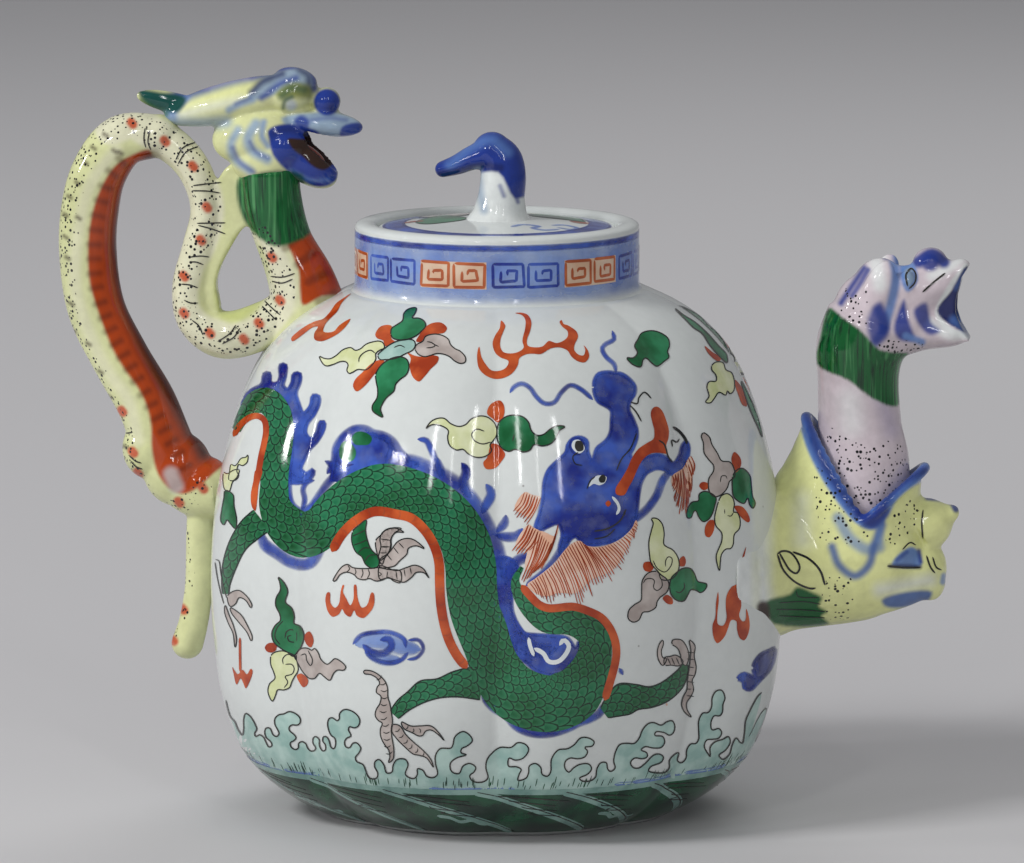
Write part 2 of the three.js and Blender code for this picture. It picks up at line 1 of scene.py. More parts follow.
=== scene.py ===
# %% [markdown]
# # A painted porcelain teapot
# The pot has a lobed body with a collar and a lid, a spout of two beasts, one of which holds the
# other's neck in its jaws, and a handle that is one coiled serpent. The frame gives every piece
# its place. This script makes the smooth clay shapes over it and then paints them as the potter
# did: cobalt blue under the glaze, and thin, glassy enamels drawn on top of it.

# %% Load the frame
import math
import random

import bmesh
import bpy
import numpy as np
from mathutils import Matrix, Vector
from mathutils.bvhtree import BVHTree


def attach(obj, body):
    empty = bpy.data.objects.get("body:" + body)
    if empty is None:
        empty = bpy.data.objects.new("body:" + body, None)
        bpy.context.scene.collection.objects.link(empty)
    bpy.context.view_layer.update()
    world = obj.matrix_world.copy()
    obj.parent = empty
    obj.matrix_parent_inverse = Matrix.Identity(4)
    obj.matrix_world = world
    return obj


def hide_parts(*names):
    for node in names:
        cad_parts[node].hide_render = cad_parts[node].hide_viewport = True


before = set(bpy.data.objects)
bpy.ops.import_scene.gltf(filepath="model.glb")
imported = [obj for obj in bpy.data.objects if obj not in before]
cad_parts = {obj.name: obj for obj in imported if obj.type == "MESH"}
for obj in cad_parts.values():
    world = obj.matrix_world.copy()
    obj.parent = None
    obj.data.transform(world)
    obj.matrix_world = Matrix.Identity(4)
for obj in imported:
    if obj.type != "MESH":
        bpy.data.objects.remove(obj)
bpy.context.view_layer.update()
MM = 0.001

# %% [markdown]
# The camera stands where the photographer stood: a little to the spout's side of the pot, a
# little above it, and far enough away for the pot to look almost free of perspective. The
# painting is drawn in the photograph's pixels and thrown onto the clay through this camera, so
# the camera comes first.

# %% Camera
PHOTO_WIDTH, PHOTO_HEIGHT = 1024, 863
CAMERA_AZIMUTH, CAMERA_ELEVATION = math.radians(6), math.radians(7.93)
CAMERA_DISTANCE = 2.4
PIXELS_PER_METRE = 4180
AIM_HEIGHT, AIM_ASIDE = 90.7 * MM, 3.59 * MM
SENSOR_WIDTH, FAR_CLIP = 36, 20

focal = PIXELS_PER_METRE * CAMERA_DISTANCE
right = np.array([math.cos(CAMERA_AZIMUTH), math.sin(CAMERA_AZIMUTH), 0.0])
back = np.array(
    [
        math.sin(CAMERA_AZIMUTH) * math.cos(CAMERA_ELEVATION),
        -math.cos(CAMERA_AZIMUTH) * math.cos(CAMERA_ELEVATION),
        math.sin(CAMERA_ELEVATION),
    ]
)
upward = np.cross(back, right)
aim = right * AIM_ASIDE + np.array([0, 0, AIM_HEIGHT])
eye = aim + back * CAMERA_DISTANCE

camera = bpy.data.objects.new("camera", bpy.data.cameras.new("camera"))
bpy.context.scene.collection.objects.link(camera)
camera.data.lens = focal / PHOTO_WIDTH * SENSOR_WIDTH
camera.data.sensor_width = SENSOR_WIDTH
camera.data.clip_end = FAR_CLIP
camera.location = eye
camera.rotation_euler = Vector(back).to_track_quat("Z", "Y").to_euler()
bpy.context.scene.camera = camera


def pixels_of(points):
    """Where the camera sees points, in the photograph's pixels."""
    seen = np.asarray(points, float) - eye
    depth = -seen @ back
    return np.stack(
        [
            PHOTO_WIDTH / 2 + focal * (seen @ right) / depth,
            PHOTO_HEIGHT / 2 - focal * (seen @ upward) / depth,
        ],
        axis=1,
    )


def sight(pixel):
    """The direction in which the camera looks through a pixel."""
    across = (pixel[0] - PHOTO_WIDTH / 2) / focal
    up = (PHOTO_HEIGHT / 2 - pixel[1]) / focal
    return right * across + upward * up - back


print("lens %.0f mm" % camera.data.lens)

# %% [markdown]
# A pot on a pale table in soft daylight. One big, soft lamp from above and in front gives the
# form and a weaker one fills the shadows. Glaze is a mirror, so these two are kept out of its
# reflections, and narrow strips leave the upright streaks that it shows along its lobes.

# %% Floor, lamps and world
FLOOR_SIZE, FLOOR_COLOUR, FLOOR_ROUGHNESS = 14, (0.60, 0.59, 0.60), 0.6
SKY_COLOUR, SKY_STRENGTH = (0.86, 0.87, 0.9, 1), 0.27
LAMPS = {
    # name: (place, width, height, watts, seen in the glaze)
    "window": ((-1.25, -1.0, 1.45), 0.5, 0.5, 22.5, False),
    "fill": ((1.4, -1.4, 0.6), 0.8, 0.8, 2, False),
    "left_streak": ((-0.31, -1.57, 0.98), 0.075, 0.62, 2.6, True),
    "right_streak": ((0.6, -1.48, 0.98), 0.07, 0.75, 2.4, True),
    "thin_streak": ((0.13, -1.6, 0.8), 0.02, 0.5, 0.35, True),
    "left_glint": ((-1.54, -0.44, 0.62), 0.15, 0.15, 3.2, True),
    "low_glint": ((-0.94, -1.29, 0.8), 0.26, 0.05, 2, True),
    "back": ((0.3, 1.4, 1.3), 1.0, 0.6, 8, False),
}

scene = bpy.context.scene
scene.view_settings.view_transform = "Standard"
world = bpy.data.worlds.new("studio")
world.use_nodes = True
sky = world.node_tree.nodes["Background"].inputs
sky["Color"].default_value, sky["Strength"].default_value = SKY_COLOUR, SKY_STRENGTH
scene.world = world

floor_clay = bmesh.new()
bmesh.ops.create_grid(floor_clay, x_segments=1, y_segments=1, size=FLOOR_SIZE / 2)
floor_mesh = bpy.data.meshes.new("floor")
floor_clay.to_mesh(floor_mesh)
floor_clay.free()
floor = bpy.data.objects.new("floor", floor_mesh)
scene.collection.objects.link(floor)
floor_finish = bpy.data.materials.new("pale table")
floor_finish.use_nodes = True
floor_shader = floor_finish.node_tree.nodes["Principled BSDF"]
floor_shader.inputs["Base Color"].default_value = (*FLOOR_COLOUR, 1)
floor_shader.inputs["Roughness"].default_value = FLOOR_ROUGHNESS
floor_mesh.materials.append(floor_finish)

for name, (place, width, height, watts, mirrored) in LAMPS.items():
    lamp = bpy.data.lights.new(name, "AREA")
    lamp.shape = "RECTANGLE"
    lamp.size, lamp.size_y, lamp.energy = width, height, watts
    holder = bpy.data.objects.new(name, lamp)
    scene.collection.objects.link(holder)
    holder.location = place
    holder.visible_glossy = mirrored
    toward = Vector(place) - Vector((0, 0, AIM_HEIGHT))
    holder.rotation_euler = toward.to_track_quat("Z", "Y").to_euler()
print("lamps", list(LAMPS))

# %% [markdown]
# Every curve on the pot was drawn by hand, so every shape here starts from a few points and a
# smooth curve through them. The same curve serves for the body's profile, for the strands of
# clay and for the brush.


# %% Smooth curves
def smooth_curve(points, per_span, closed=False):
    """A centripetal Catmull-Rom curve through the points, which may have any dimension."""
    given = np.asarray(points, float)
    if closed:
        padded = np.concatenate([given[-1:], given, given[:2]])
    else:
        padded = np.concatenate(
            [[2 * given[0] - given[1]], given, [2 * given[-1] - given[-2]]]
        )
    share = np.linspace(0, 1, per_span, endpoint=False)[:, None]
    spans = []
    gaps = [max(np.linalg.norm(b - a) ** 0.5, 1e-6) for a, b in zip(padded, padded[1:])]
    t2, t3 = share**2, share**3
    for i in range(len(gaps) - 2):
        p0, p1, p2, p3 = padded[i : i + 4]
        d0, d1, d2 = gaps[i : i + 3]
        leave = ((p1 - p0) / d0 - (p2 - p0) / (d0 + d1) + (p2 - p1) / d1) * d1
        arrive = ((p2 - p1) / d1 - (p3 - p1) / (d1 + d2) + (p3 - p2) / d2) * d1
        start, end = p1 * (2 * t3 - 3 * t2 + 1), p2 * (3 * t2 - 2 * t3)
        spans.append(start + leave * (t3 - 2 * t2 + share) + end + arrive * (t3 - t2))
    if not closed:
        spans.append(given[-1:])
    return np.concatenate(spans)


def even_steps(curve, step):
    """The same curve with points at about even steps, and the length up to each of them."""
    lengths = np.concatenate([[0], np.cumsum(np.linalg.norm(np.diff(curve, axis=0), axis=1))])
    count = max(3, int(round(lengths[-1] / step)) + 1)
    at = np.linspace(0, lengths[-1], count)
    return np.stack([np.interp(at, lengths, column) for column in curve.T], axis=1), at


def directions(curve):
    """Unit vectors along a curve."""
    along = np.gradient(curve, axis=0)
    return along / np.maximum(np.linalg.norm(along, axis=1), 1e-9)[:, None]


def sideways(along):
    """The same vectors of the plane, turned by a right angle."""
    return np.stack([along[..., 1], -along[..., 0]], axis=-1)


def smoothstep(low, high, value):
    t = np.clip((value - low) / (high - low), 0, 1)
    return t * t * (3 - 2 * t)


hexagon = [(math.cos(turn * math.pi / 3), math.sin(turn * math.pi / 3)) for turn in range(6)]
print("a circle from 6 points:", len(smooth_curve(hexagon, 8, closed=True)))

# %% [markdown]
# The materials all share one thing, the glaze. It is glass that ran while it was hot: it lies in
# slow ripples, so reflections wander, its colour is a little uneven, and here and there it holds
# a pinprick or a speck. That is one node group, and each finish gives it a colour and says how
# much it varies.


# %% The glaze as a node group
def add_node(tree, kind, **settings):
    made = tree.nodes.new(kind)
    for name, value in settings.items():
        setattr(made, name, value)
    return made


def wire(tree, source, target):
    tree.links.new(source, target)


def math_node(tree, operation, first, second=None):
    made = add_node(tree, "ShaderNodeMath", operation=operation)
    for socket, value in zip(made.inputs, (first, second)):
        if isinstance(value, (int, float)):
            socket.default_value = value
        elif value is not None:
            wire(tree, value, socket)
    return made.outputs[0]


def product(tree, *factors):
    made = factors[0]
    for factor in factors[1:]:
        made = math_node(tree, "MULTIPLY", made, factor)
    return made


def mix_node(tree, factor, first, second, blend="MIX"):
    made = add_node(tree, "ShaderNodeMix", data_type="RGBA", blend_type=blend)
    sockets = (made.inputs[0], made.inputs[6], made.inputs[7])
    for socket, value in zip(sockets, (factor, first, second)):
        if isinstance(value, (int, float)):
            socket.default_value = value
        elif isinstance(value, tuple):
            socket.default_value = (*value, 1)
        else:
            wire(tree, value, socket)
    return made.outputs[2]


def object_place(tree):
    return add_node(tree, "ShaderNodeTexCoord").outputs["Object"]


def noise_node(tree, vector, scale, detail=2):
    made = add_node(tree, "ShaderNodeTexNoise")
    made.inputs["Scale"].default_value = scale
    made.inputs["Detail"].default_value = detail
    wire(tree, vector, made.inputs["Vector"])
    return made.outputs["Fac"]


def cells_node(tree, vector, scale):
    """Scattered cells: the distance from each one's middle, and three random numbers for it."""
    made, chance = add_node(tree, "ShaderNodeTexVoronoi"), add_node(tree, "ShaderNodeSeparateColor")
    made.inputs["Scale"].default_value = scale
    wire(tree, vector, made.inputs["Vector"])
    wire(tree, made.outputs["Color"], chance.inputs[0])
    return made.outputs["Distance"], chance.outputs


def span_node(tree, value, low, high, to_low=0.0, to_high=1.0):
    made = add_node(tree, "ShaderNodeMapRange")
    wire(tree, value, made.inputs["Value"])
    names = ("From Min", "From Max", "To Min", "To Max")
    for name, number in zip(names, (low, high, to_low, to_high)):
        if isinstance(number, (int, float)):
            made.inputs[name].default_value = number
        else:
            wire(tree, number, made.inputs[name])
    return made.outputs[0]


def new_group(name, inputs, outputs):
    group = bpy.data.node_groups.new(name, "ShaderNodeTree")
    for socket, kind, value in inputs:
        made = group.interface.new_socket(name=socket, in_out="INPUT", socket_type=kind)
        if value is not None:
            made.default_value = value
    for socket, kind in outputs:
        group.interface.new_socket(name=socket, in_out="OUTPUT", socket_type=kind)
    return group, group.nodes.new("NodeGroupInput"), group.nodes.new("NodeGroupOutput")


BROAD_SCALE, FINE_SCALE, BROAD_SHARE, TONE_SPAN = 45, 420, 0.6, (0.35, 0.65)
SPECK_SCALE, SPECK_SPAN, SPECK_RARITY = 150, (0.03, 0.06), 0.86
SPECK_COLOUR = (0.10, 0.08, 0.07)
RIPPLE_SCALE, GRAIN_SCALE, GRAIN_SHARE = 70, 700, 0.03
RIPPLE_STRENGTH, RIPPLE_HEIGHT = 0.5, 0.35 * MM
SMOOTHEST, ROUGHEST = 0.05, 0.13


def glaze_group():
    group, given, result = new_group(
        "glaze",
        [
            ("Colour", "NodeSocketColor", (0.8, 0.8, 0.8, 1)),
            ("Tone", "NodeSocketFloat", 0.1),
            ("Specks", "NodeSocketFloat", 0.0),
        ],
        [
            ("Colour", "NodeSocketColor"),
            ("Roughness", "NodeSocketFloat"),
            ("Normal", "NodeSocketVector"),
        ],
    )
    place = object_place(group)
    broad, fine = noise_node(group, place, BROAD_SCALE), noise_node(group, place, FINE_SCALE, 4)
    broad_part = product(group, broad, BROAD_SHARE)
    uneven = math_node(group, "ADD", broad_part, product(group, fine, 1 - BROAD_SHARE))
    low = math_node(group, "SUBTRACT", 1, given.outputs["Tone"])
    high = math_node(group, "ADD", 1, given.outputs["Tone"])
    level = span_node(group, uneven, *TONE_SPAN, low, high)
    shaded = mix_node(group, 1.0, given.outputs["Colour"], level, "MULTIPLY")
    distance, chance = cells_node(group, place, SPECK_SCALE)
    near = span_node(group, distance, *SPECK_SPAN, 1.0, 0.0)
    rare = math_node(group, "GREATER_THAN", chance[0], SPECK_RARITY)
    speck = product(group, near, given.outputs["Specks"], rare)
    wire(group, mix_node(group, speck, shaded, SPECK_COLOUR), result.inputs["Colour"])
    rough = span_node(group, fine, 0.3, 0.7, SMOOTHEST, ROUGHEST)
    wire(group, rough, result.inputs["Roughness"])
    ripple, grain = noise_node(group, place, RIPPLE_SCALE, 1), noise_node(group, place, GRAIN_SCALE)
    height = math_node(group, "ADD", ripple, product(group, grain, GRAIN_SHARE))
    bump = add_node(group, "ShaderNodeBump")
    bump.inputs["Strength"].default_value = RIPPLE_STRENGTH
    bump.inputs["Distance"].default_value = RIPPLE_HEIGHT
    wire(group, height, bump.inputs["Height"])
    wire(group, bump.outputs["Normal"], result.inputs["Normal"])
    return group


GLAZE = glaze_group()
print("glaze nodes", len(GLAZE.nodes))


# %% Finishes
GLASS_IOR = 1.52


def glazed(name, colour, tone=0.06, specks=0.0):
    """A glossy finish. The colour is a triple, or a function that builds it from nodes."""
    finish = bpy.data.materials.new(name)
    finish.use_nodes = True
    tree = finish.node_tree
    shader = tree.nodes["Principled BSDF"]
    glaze = add_node(tree, "ShaderNodeGroup", node_tree=GLAZE)
    glaze.inputs["Tone"].default_value = tone
    glaze.inputs["Specks"].default_value = specks
    if callable(colour):
        wire(tree, colour(tree), glaze.inputs["Colour"])
    else:
        glaze.inputs["Colour"].default_value = (*colour, 1)
    shader_sockets = {"Colour": "Base Color", "Roughness": "Roughness", "Normal": "Normal"}
    for output, socket in shader_sockets.items():
        wire(tree, glaze.outputs[output], shader.inputs[socket])
    shader.inputs["IOR"].default_value = GLASS_IOR
    return finish


def attribute(tree, name, output="Fac"):
    return add_node(tree, "ShaderNodeAttribute", attribute_name=name).outputs[output]


PORCELAIN = (0.66, 0.69, 0.675)
porcelain = glazed("white porcelain", PORCELAIN, tone=0.035, specks=0.7)
print("finishes", len(bpy.data.materials))

# %% [markdown]
# The body is thrown, pressed into eight lobes and turned at its foot. A lathe does the same here:
# the profile, outer wall and inner wall in one line, is spun round the axis, and then each point
# is pulled in towards the axis by how far it is from the crest of its lobe.

# %% Body sizes and profile
BODY_RADIUS, BODY_HEIGHT = 70.2 * MM, 125 * MM
BODY_WALL, FLOOR_THICKNESS = 3.2 * MM, 4 * MM
LOBES, LOBE_DEPTH, LOBE_TURN = 8, 3.8 * MM, math.radians(6)
GROOVE_SHARPNESS = 2.5
FOOT_GROOVE, COLLAR_GROOVE = 0.85, 0.5
FOOT_FADE, COLLAR_FADE, UNDERSIDE_FADE = 0.25, 0.75, (0.35, 0.52)
COLLAR_RADIUS, COLLAR_HEIGHT, COLLAR_FILLET = 33.9 * MM, 16.5 * MM, 2.6 * MM
COLLAR_WALL, LEDGE_WIDTH = 5 * MM, 3.9 * MM
WELL_RADIUS = COLLAR_RADIUS - COLLAR_WALL
MOUTH_RADIUS = WELL_RADIUS - LEDGE_WIDTH
FOOT_RING = 3.6 * MM
FOOT_HOLLOW = 1.3 * MM
BODY_PROFILE = [
    (0.6, 0), (0.732, 0.04), (0.84, 0.09), (0.905, 0.14), (0.967, 0.24), (0.99, 0.34), (1, 0.44),
    (0.994, 0.54), (0.972, 0.64), (0.932, 0.73), (0.88, 0.81), (0.8, 0.888), (0.715, 0.938),
    (0.625, 0.972),
]  # fmt: skip
SPIN_STEPS = 384
WALL_STEP = 1.25 * MM


def body_profile():
    """The whole section: hollow of the foot, outer wall, mouth, inner wall and floor."""
    points = [(r * BODY_RADIUS, h * BODY_HEIGHT) for r, h in BODY_PROFILE]
    outer = smooth_curve(points + [(COLLAR_RADIUS + COLLAR_FILLET, BODY_HEIGHT)], 16)
    outer, _ = even_steps(outer, WALL_STEP)
    inner = outer - sideways(directions(outer)) * BODY_WALL
    inner = inner[(inner[:, 1] > FLOOR_THICKNESS) & (inner[:, 1] < BODY_HEIGHT - BODY_WALL)]
    foot = BODY_PROFILE[0][0] * BODY_RADIUS
    under = [(0, FOOT_HOLLOW), (foot - 2 * FOOT_RING, FOOT_HOLLOW), (foot - FOOT_RING, 0)]
    mouth = [(MOUTH_RADIUS, BODY_HEIGHT), (MOUTH_RADIUS, BODY_HEIGHT - BODY_WALL)]
    floor_line = [(inner[0][0] - 2 * MM, FLOOR_THICKNESS), (0, FLOOR_THICKNESS)]
    return np.concatenate([under, outer, mouth, inner[::-4], floor_line])


def lobed(points):
    """Pulls points in towards the axis between the lobes."""
    radius = np.hypot(points[:, 0], points[:, 1])
    turns = (np.arctan2(points[:, 1], points[:, 0]) - LOBE_TURN) / (2 * math.pi) * LOBES
    from_crest = np.abs(2 * (turns - np.floor(turns)) - 1)
    height = np.clip(points[:, 2] / BODY_HEIGHT, 0, 1)
    fade = FOOT_GROOVE + (1 - FOOT_GROOVE) * smoothstep(0, FOOT_FADE, height)
    fade = fade * (1 + (COLLAR_GROOVE - 1) * smoothstep(COLLAR_FADE, 1, height))
    fade = fade * smoothstep(*(share * BODY_RADIUS for share in UNDERSIDE_FADE), radius)
    pull = 1 - LOBE_DEPTH / BODY_RADIUS * fade * from_crest**GROOVE_SHARPNESS
    return np.stack([points[:, 0] * pull, points[:, 1] * pull, points[:, 2]], axis=1)


def spun(name, profile, steps):
    """A closed mesh, turned on a lathe from a profile of (radius, height)."""
    clay = bmesh.new()
    line = [clay.verts.new((r, 0, h)) for r, h in profile]
    edges = [clay.edges.new(pair) for pair in zip(line, line[1:])]
    turn = {"axis": (0, 0, 1), "cent": (0, 0, 0), "angle": 2 * math.pi}
    bmesh.ops.spin(clay, geom=line + edges, steps=steps, use_merge=True, **turn)
    bmesh.ops.remove_doubles(clay, verts=clay.verts, dist=1e-6)
    bmesh.ops.recalc_face_normals(clay, faces=clay.faces)
    mesh = bpy.data.meshes.new(name)
    clay.to_mesh(mesh)
    clay.free()
    mesh.shade_smooth()
    return mesh


def coords(mesh):
    flat = np.empty(len(mesh.vertices) * 3, np.float32)
    mesh.vertices.foreach_get("co", flat)
    return flat.reshape(-1, 3).astype(float)


body_mesh = spun("body", body_profile(), SPIN_STEPS)
body_mesh.vertices.foreach_set("co", lobed(coords(body_mesh)).astype(np.float32).ravel())
body_mesh.update()
print("body", len(body_mesh.polygons), "faces")


# %% [markdown]
# Each finished piece is put in the scene by one function, which names what carries it and which CAD
# nodes it stands for.


# %% Put a piece in place
def place_piece(name, mesh, finish, body="pot", replaces=()):
    mesh.materials.clear()
    mesh.materials.append(finish)
    made = bpy.data.objects.new(name, mesh)
    scene.collection.objects.link(made)
    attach(made, body)
    if replaces:
        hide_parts(*replaces)


body_nodes = ["body_shell", "body_shoulder"]
place_piece("painted_body", body_mesh, porcelain, replaces=body_nodes)
print("placed the body")

# %% [markdown]
# The collar is a plain ring with a round rim. Inside it are the well that the lid sits in and a
# ledge. It is spun from one closed profile, and its foot runs a hair below the shoulder so that
# the fillet of slip meets the body with no gap.

# %% Collar
COLLAR_STEPS = 256
GAP, COLLAR_SINK = 0.3 * MM, 0.9 * MM
FILLET_SPREAD = (0.6 * MM, 0.4 * MM)
collar_top = BODY_HEIGHT + COLLAR_HEIGHT
LID_SINK, LID_THICKNESS, LID_DOME = 1.4 * MM, 3 * MM, 2 * MM
ledge = collar_top - LID_SINK - LID_THICKNESS


def arc_of(centre, radii, start, end, count):
    turn = np.radians(np.linspace(start, end, count))
    return np.array(centre) + np.stack([radii[0] * np.cos(turn), radii[1] * np.sin(turn)], axis=1)


def collar_profile():
    crest = COLLAR_WALL / 2
    foot = BODY_HEIGHT - COLLAR_SINK
    wide, tall = (COLLAR_FILLET + spread for spread in FILLET_SPREAD)
    fillet = arc_of((COLLAR_RADIUS + wide, foot + tall), (wide, tall), 270, 180, 9)
    heights = np.linspace(fillet[-1][1] + MM, collar_top - crest / 2, 10)[:-1]
    wall = [(COLLAR_RADIUS, h) for h in heights]
    rim = arc_of((COLLAR_RADIUS - crest, collar_top - crest / 2), (crest, crest / 2), 0, 180, 17)
    well = [(WELL_RADIUS, ledge), (MOUTH_RADIUS, ledge), (MOUTH_RADIUS, foot), tuple(fillet[0])]
    return np.concatenate([fillet, wall, rim, well])


collar_mesh = spun("collar", collar_profile(), COLLAR_STEPS)
place_piece("painted_collar", collar_mesh, porcelain, replaces=["neck_collar"])
print("collar", len(collar_mesh.polygons), "faces")

# %% [markdown]
# The heads, the strands and the knob were rolled and pinched from clay and smeared together with
# a wet finger. Blender's nearest thing to that is a voxel remesh: strands and lumps go into one
# mesh, the remesh melts them into one skin, and a smoothing pass takes the place of the finger.
# Hollows such as a mouth are scooped out with a Boolean before the last remesh.


# %% Clay tools
CAP_TURN = np.radians(np.linspace(12, 84, 7))
STRAND_SIDES, STRAND_STEPS = 28, 8
FIRST_VOXEL = 0.5 * MM


def strand(clay, rows, round_start=False, round_end=False):
    """A strand in the XZ plane. Each row is x, z and the radii in the plane and across it."""
    rows = np.asarray(rows, float)
    centre, radii = (smooth_curve(part, STRAND_STEPS) for part in (rows[:, :2], rows[:, 2:]))
    along = directions(centre)
    if round_end:
        reach = (radii[-1][0] * np.sin(CAP_TURN))[:, None]
        centre = np.concatenate([centre, centre[-1] + along[-1] * reach])
        radii = np.concatenate([radii, radii[-1] * np.cos(CAP_TURN)[:, None]])
        along = np.concatenate([along, np.repeat(along[-1:], len(CAP_TURN), axis=0)])
    if round_start:
        cap = CAP_TURN[::-1]
        reach = (radii[0][0] * np.sin(cap))[:, None]
        centre = np.concatenate([centre[0] - along[0] * reach, centre])
        radii = np.concatenate([radii[0] * np.cos(cap)[:, None], radii])
        along = np.concatenate([np.repeat(along[:1], len(cap), axis=0), along])
    rings = len(centre)
    grid = {"x_segments": rings - 1, "y_segments": STRAND_SIDES, "size": 0.5}
    made = bmesh.ops.create_grid(clay, **grid)["verts"]
    for vert in made:
        ring = round((vert.co.x + 0.5) * (rings - 1))
        turn = 2 * math.pi * (vert.co.y + 0.5)
        in_plane = radii[ring][0] * math.cos(turn)
        vert.co = (
            centre[ring][0] - along[ring][1] * in_plane,
            radii[ring][1] * math.sin(turn),
            centre[ring][1] + along[ring][0] * in_plane,
        )
    bmesh.ops.remove_doubles(clay, verts=made, dist=1e-7)
    bmesh.ops.holes_fill(clay, edges=clay.edges, sides=0)


def lump(clay, at, radii, pitch=0):
    """An ellipsoid of clay. The pitch lifts its front, in degrees."""
    turn = Matrix.Rotation(-math.radians(pitch), 4, "Y")
    matrix = Matrix.Translation(at) @ turn @ Matrix.Diagonal((*radii, 1))
    bmesh.ops.create_icosphere(clay, subdivisions=4, radius=1, matrix=matrix)


def lumps_of(clay, rows, length, origin):
    """Lumps whose places from an origin and radii are shares of a length."""
    for (x, y, z), radii, pitch in rows:
        at = (origin[0] + x * length, y * length, origin[1] + z * length)
        lump(clay, at, [r * length for r in radii], pitch)


def slab(clay, outline, thickness):
    """A plate in the middle plane from an outline of x and z."""
    verts = [clay.verts.new((x, -thickness / 2, z)) for x, z in outline]
    face = clay.faces.new(verts)
    extruded = bmesh.ops.extrude_face_region(clay, geom=[face])["geom"]
    moved = [v for v in extruded if isinstance(v, bmesh.types.BMVert)]
    bmesh.ops.translate(clay, verts=moved, vec=(0, thickness, 0))


def clay_object(name, clay):
    bmesh.ops.recalc_face_normals(clay, faces=clay.faces)
    mesh = bpy.data.meshes.new(name)
    clay.to_mesh(mesh)
    clay.free()
    made = bpy.data.objects.new(name, mesh)
    scene.collection.objects.link(made)
    return made


def settle(made):
    """Applies an object's modifiers."""
    bpy.context.view_layer.update()
    evaluated = made.evaluated_get(bpy.context.evaluated_depsgraph_get())
    mesh = bpy.data.meshes.new_from_object(evaluated)
    old = made.data
    made.modifiers.clear()
    made.data = mesh
    bpy.data.meshes.remove(old)


def melt(made, voxel, rounds):
    """Melts overlapping clay into one skin and smooths it."""
    remesh = made.modifiers.new("melt", "REMESH")
    remesh.mode, remesh.voxel_size = "VOXEL", voxel
    smooth = made.modifiers.new("finger", "SMOOTH")
    smooth.factor, smooth.iterations = 0.5, rounds
    settle(made)


def scoop(made, *tools):
    """Cuts each tool, a bmesh, out of the clay."""
    for tool in tools:
        cutter = clay_object("tool", tool)
        cut = made.modifiers.new("scoop", "BOOLEAN")
        cut.operation, cut.solver, cut.object = "DIFFERENCE", "MANIFOLD", cutter
        settle(made)
        bpy.data.objects.remove(cutter)


def add_clay(made, added):
    """Presses more clay onto a piece. added(clay) makes it in a bmesh."""
    clay = bmesh.new()
    clay.from_mesh(made.data)
    added(clay)
    clay.to_mesh(made.data)
    clay.free()


def modelled(name, clay, voxel, rounds=6, tools=(), added=None, late_tools=()):
    """One finished clay mesh: strands and lumps, cut, added to, and cut again."""
    made = clay_object(name, clay)
    if tools:
        melt(made, FIRST_VOXEL, 2)
        scoop(made, *tools)
    if added:
        add_clay(made, added)
        melt(made, FIRST_VOXEL, 2)
        scoop(made, *late_tools)
    melt(made, voxel, rounds)
    mesh = made.data
    bpy.data.objects.remove(made)
    mesh.name = name
    mesh.polygons.foreach_set("material_index", [0] * len(mesh.polygons))
    mesh.shade_smooth()
    print(name, len(mesh.polygons), "faces")
    return mesh


def rows_on(place, radius, shares):
    return [(*place(p, q), inside * radius, across * radius) for p, q, inside, across in shares]


# %% [markdown]
# The spout starts as a beast whose muzzle points up. Its lips are cut as a V, and a rolled edge
# runs round them. The way for the tea is bored through after the muzzle is whole.

# %% Spout: places and tables
SPOUT_REACH, ROOT_RADIUS, SPOUT_NECK_RADIUS = 45 * MM, 17.2 * MM, 9.7 * MM
SPOUT_HEAD_LENGTH, CHANNEL_RADIUS = 32 * MM, 6.2 * MM
TRUNK = [
    (-0.22, 0.486, 1.14, 2.05), (-0.15, 0.487, 1.12, 1.8), (-0.08, 0.489, 1.08, 1.44),
    (-0.02, 0.491, 1.04, 1.16), (0.05, 0.492, 1.01, 0.98), (0.22, 0.492, 0.95, 0.86),
    (0.43, 0.492, 0.87, 0.8), (0.57, 0.486, 0.74, 0.7), (0.66, 0.475, 0.47, 0.5),
]  # fmt: skip
MUZZLE = [
    (0.3, 0.5, 1.1, 0.86), (0.3, 0.59, 1.08, 0.84), (0.327, 0.63, 1.0, 0.8),
    (0.355, 0.67, 0.93, 0.78), (0.385, 0.72, 0.875, 0.77), (0.402, 0.79, 0.84, 0.76),
]  # fmt: skip
CHIN = [
    (0.1, 0.452, 0.55, 0.6), (0.3, 0.436, 0.5, 0.62), (0.45, 0.437, 0.41, 0.56),
    (0.58, 0.443, 0.345, 0.48), (0.68, 0.452, 0.3, 0.42),
]  # fmt: skip
LIPS = [(0.086, 0.762), (0.405, 0.574), (0.72, 0.668)]
SPOUT_NECK = [
    (0.391, 0.545, 1.1, 1.05), (0.388, 0.67, 1.16, 1.1), (0.372, 0.75, 1.03, 1),
    (0.363, 0.83, 1, 1), (0.372, 0.895, 1.1, 1.04), (0.43, 0.95, 1.12, 1.05),
]  # fmt: skip
CHANNEL = [
    (-0.1, 0.494, 1.7, 1.7), (0.22, 0.5, 1.4, 1.5), (0.37, 0.56, 1.1, 1.1),
    (0.388, 0.67, 1, 1), (0.372, 0.78, 1, 1), (0.38, 0.88, 1, 1), (0.42, 0.94, 0.95, 1),
]  # fmt: skip
THROAT = [
    (-0.084, -0.336, 0.19, 0.19), (0.084, -0.0625, 0.174, 0.18), (0.366, 0.008, 0.139, 0.1),
    (0.591, 0.074, 0.15, 0.085), (0.76, 0.1, 0.17, 0.085),
]  # fmt: skip
JAW_GAP = [(0.463, -0.015), (0.84, 0.54), (0.84, -0.27)]
LINING_WIDTH = 0.26
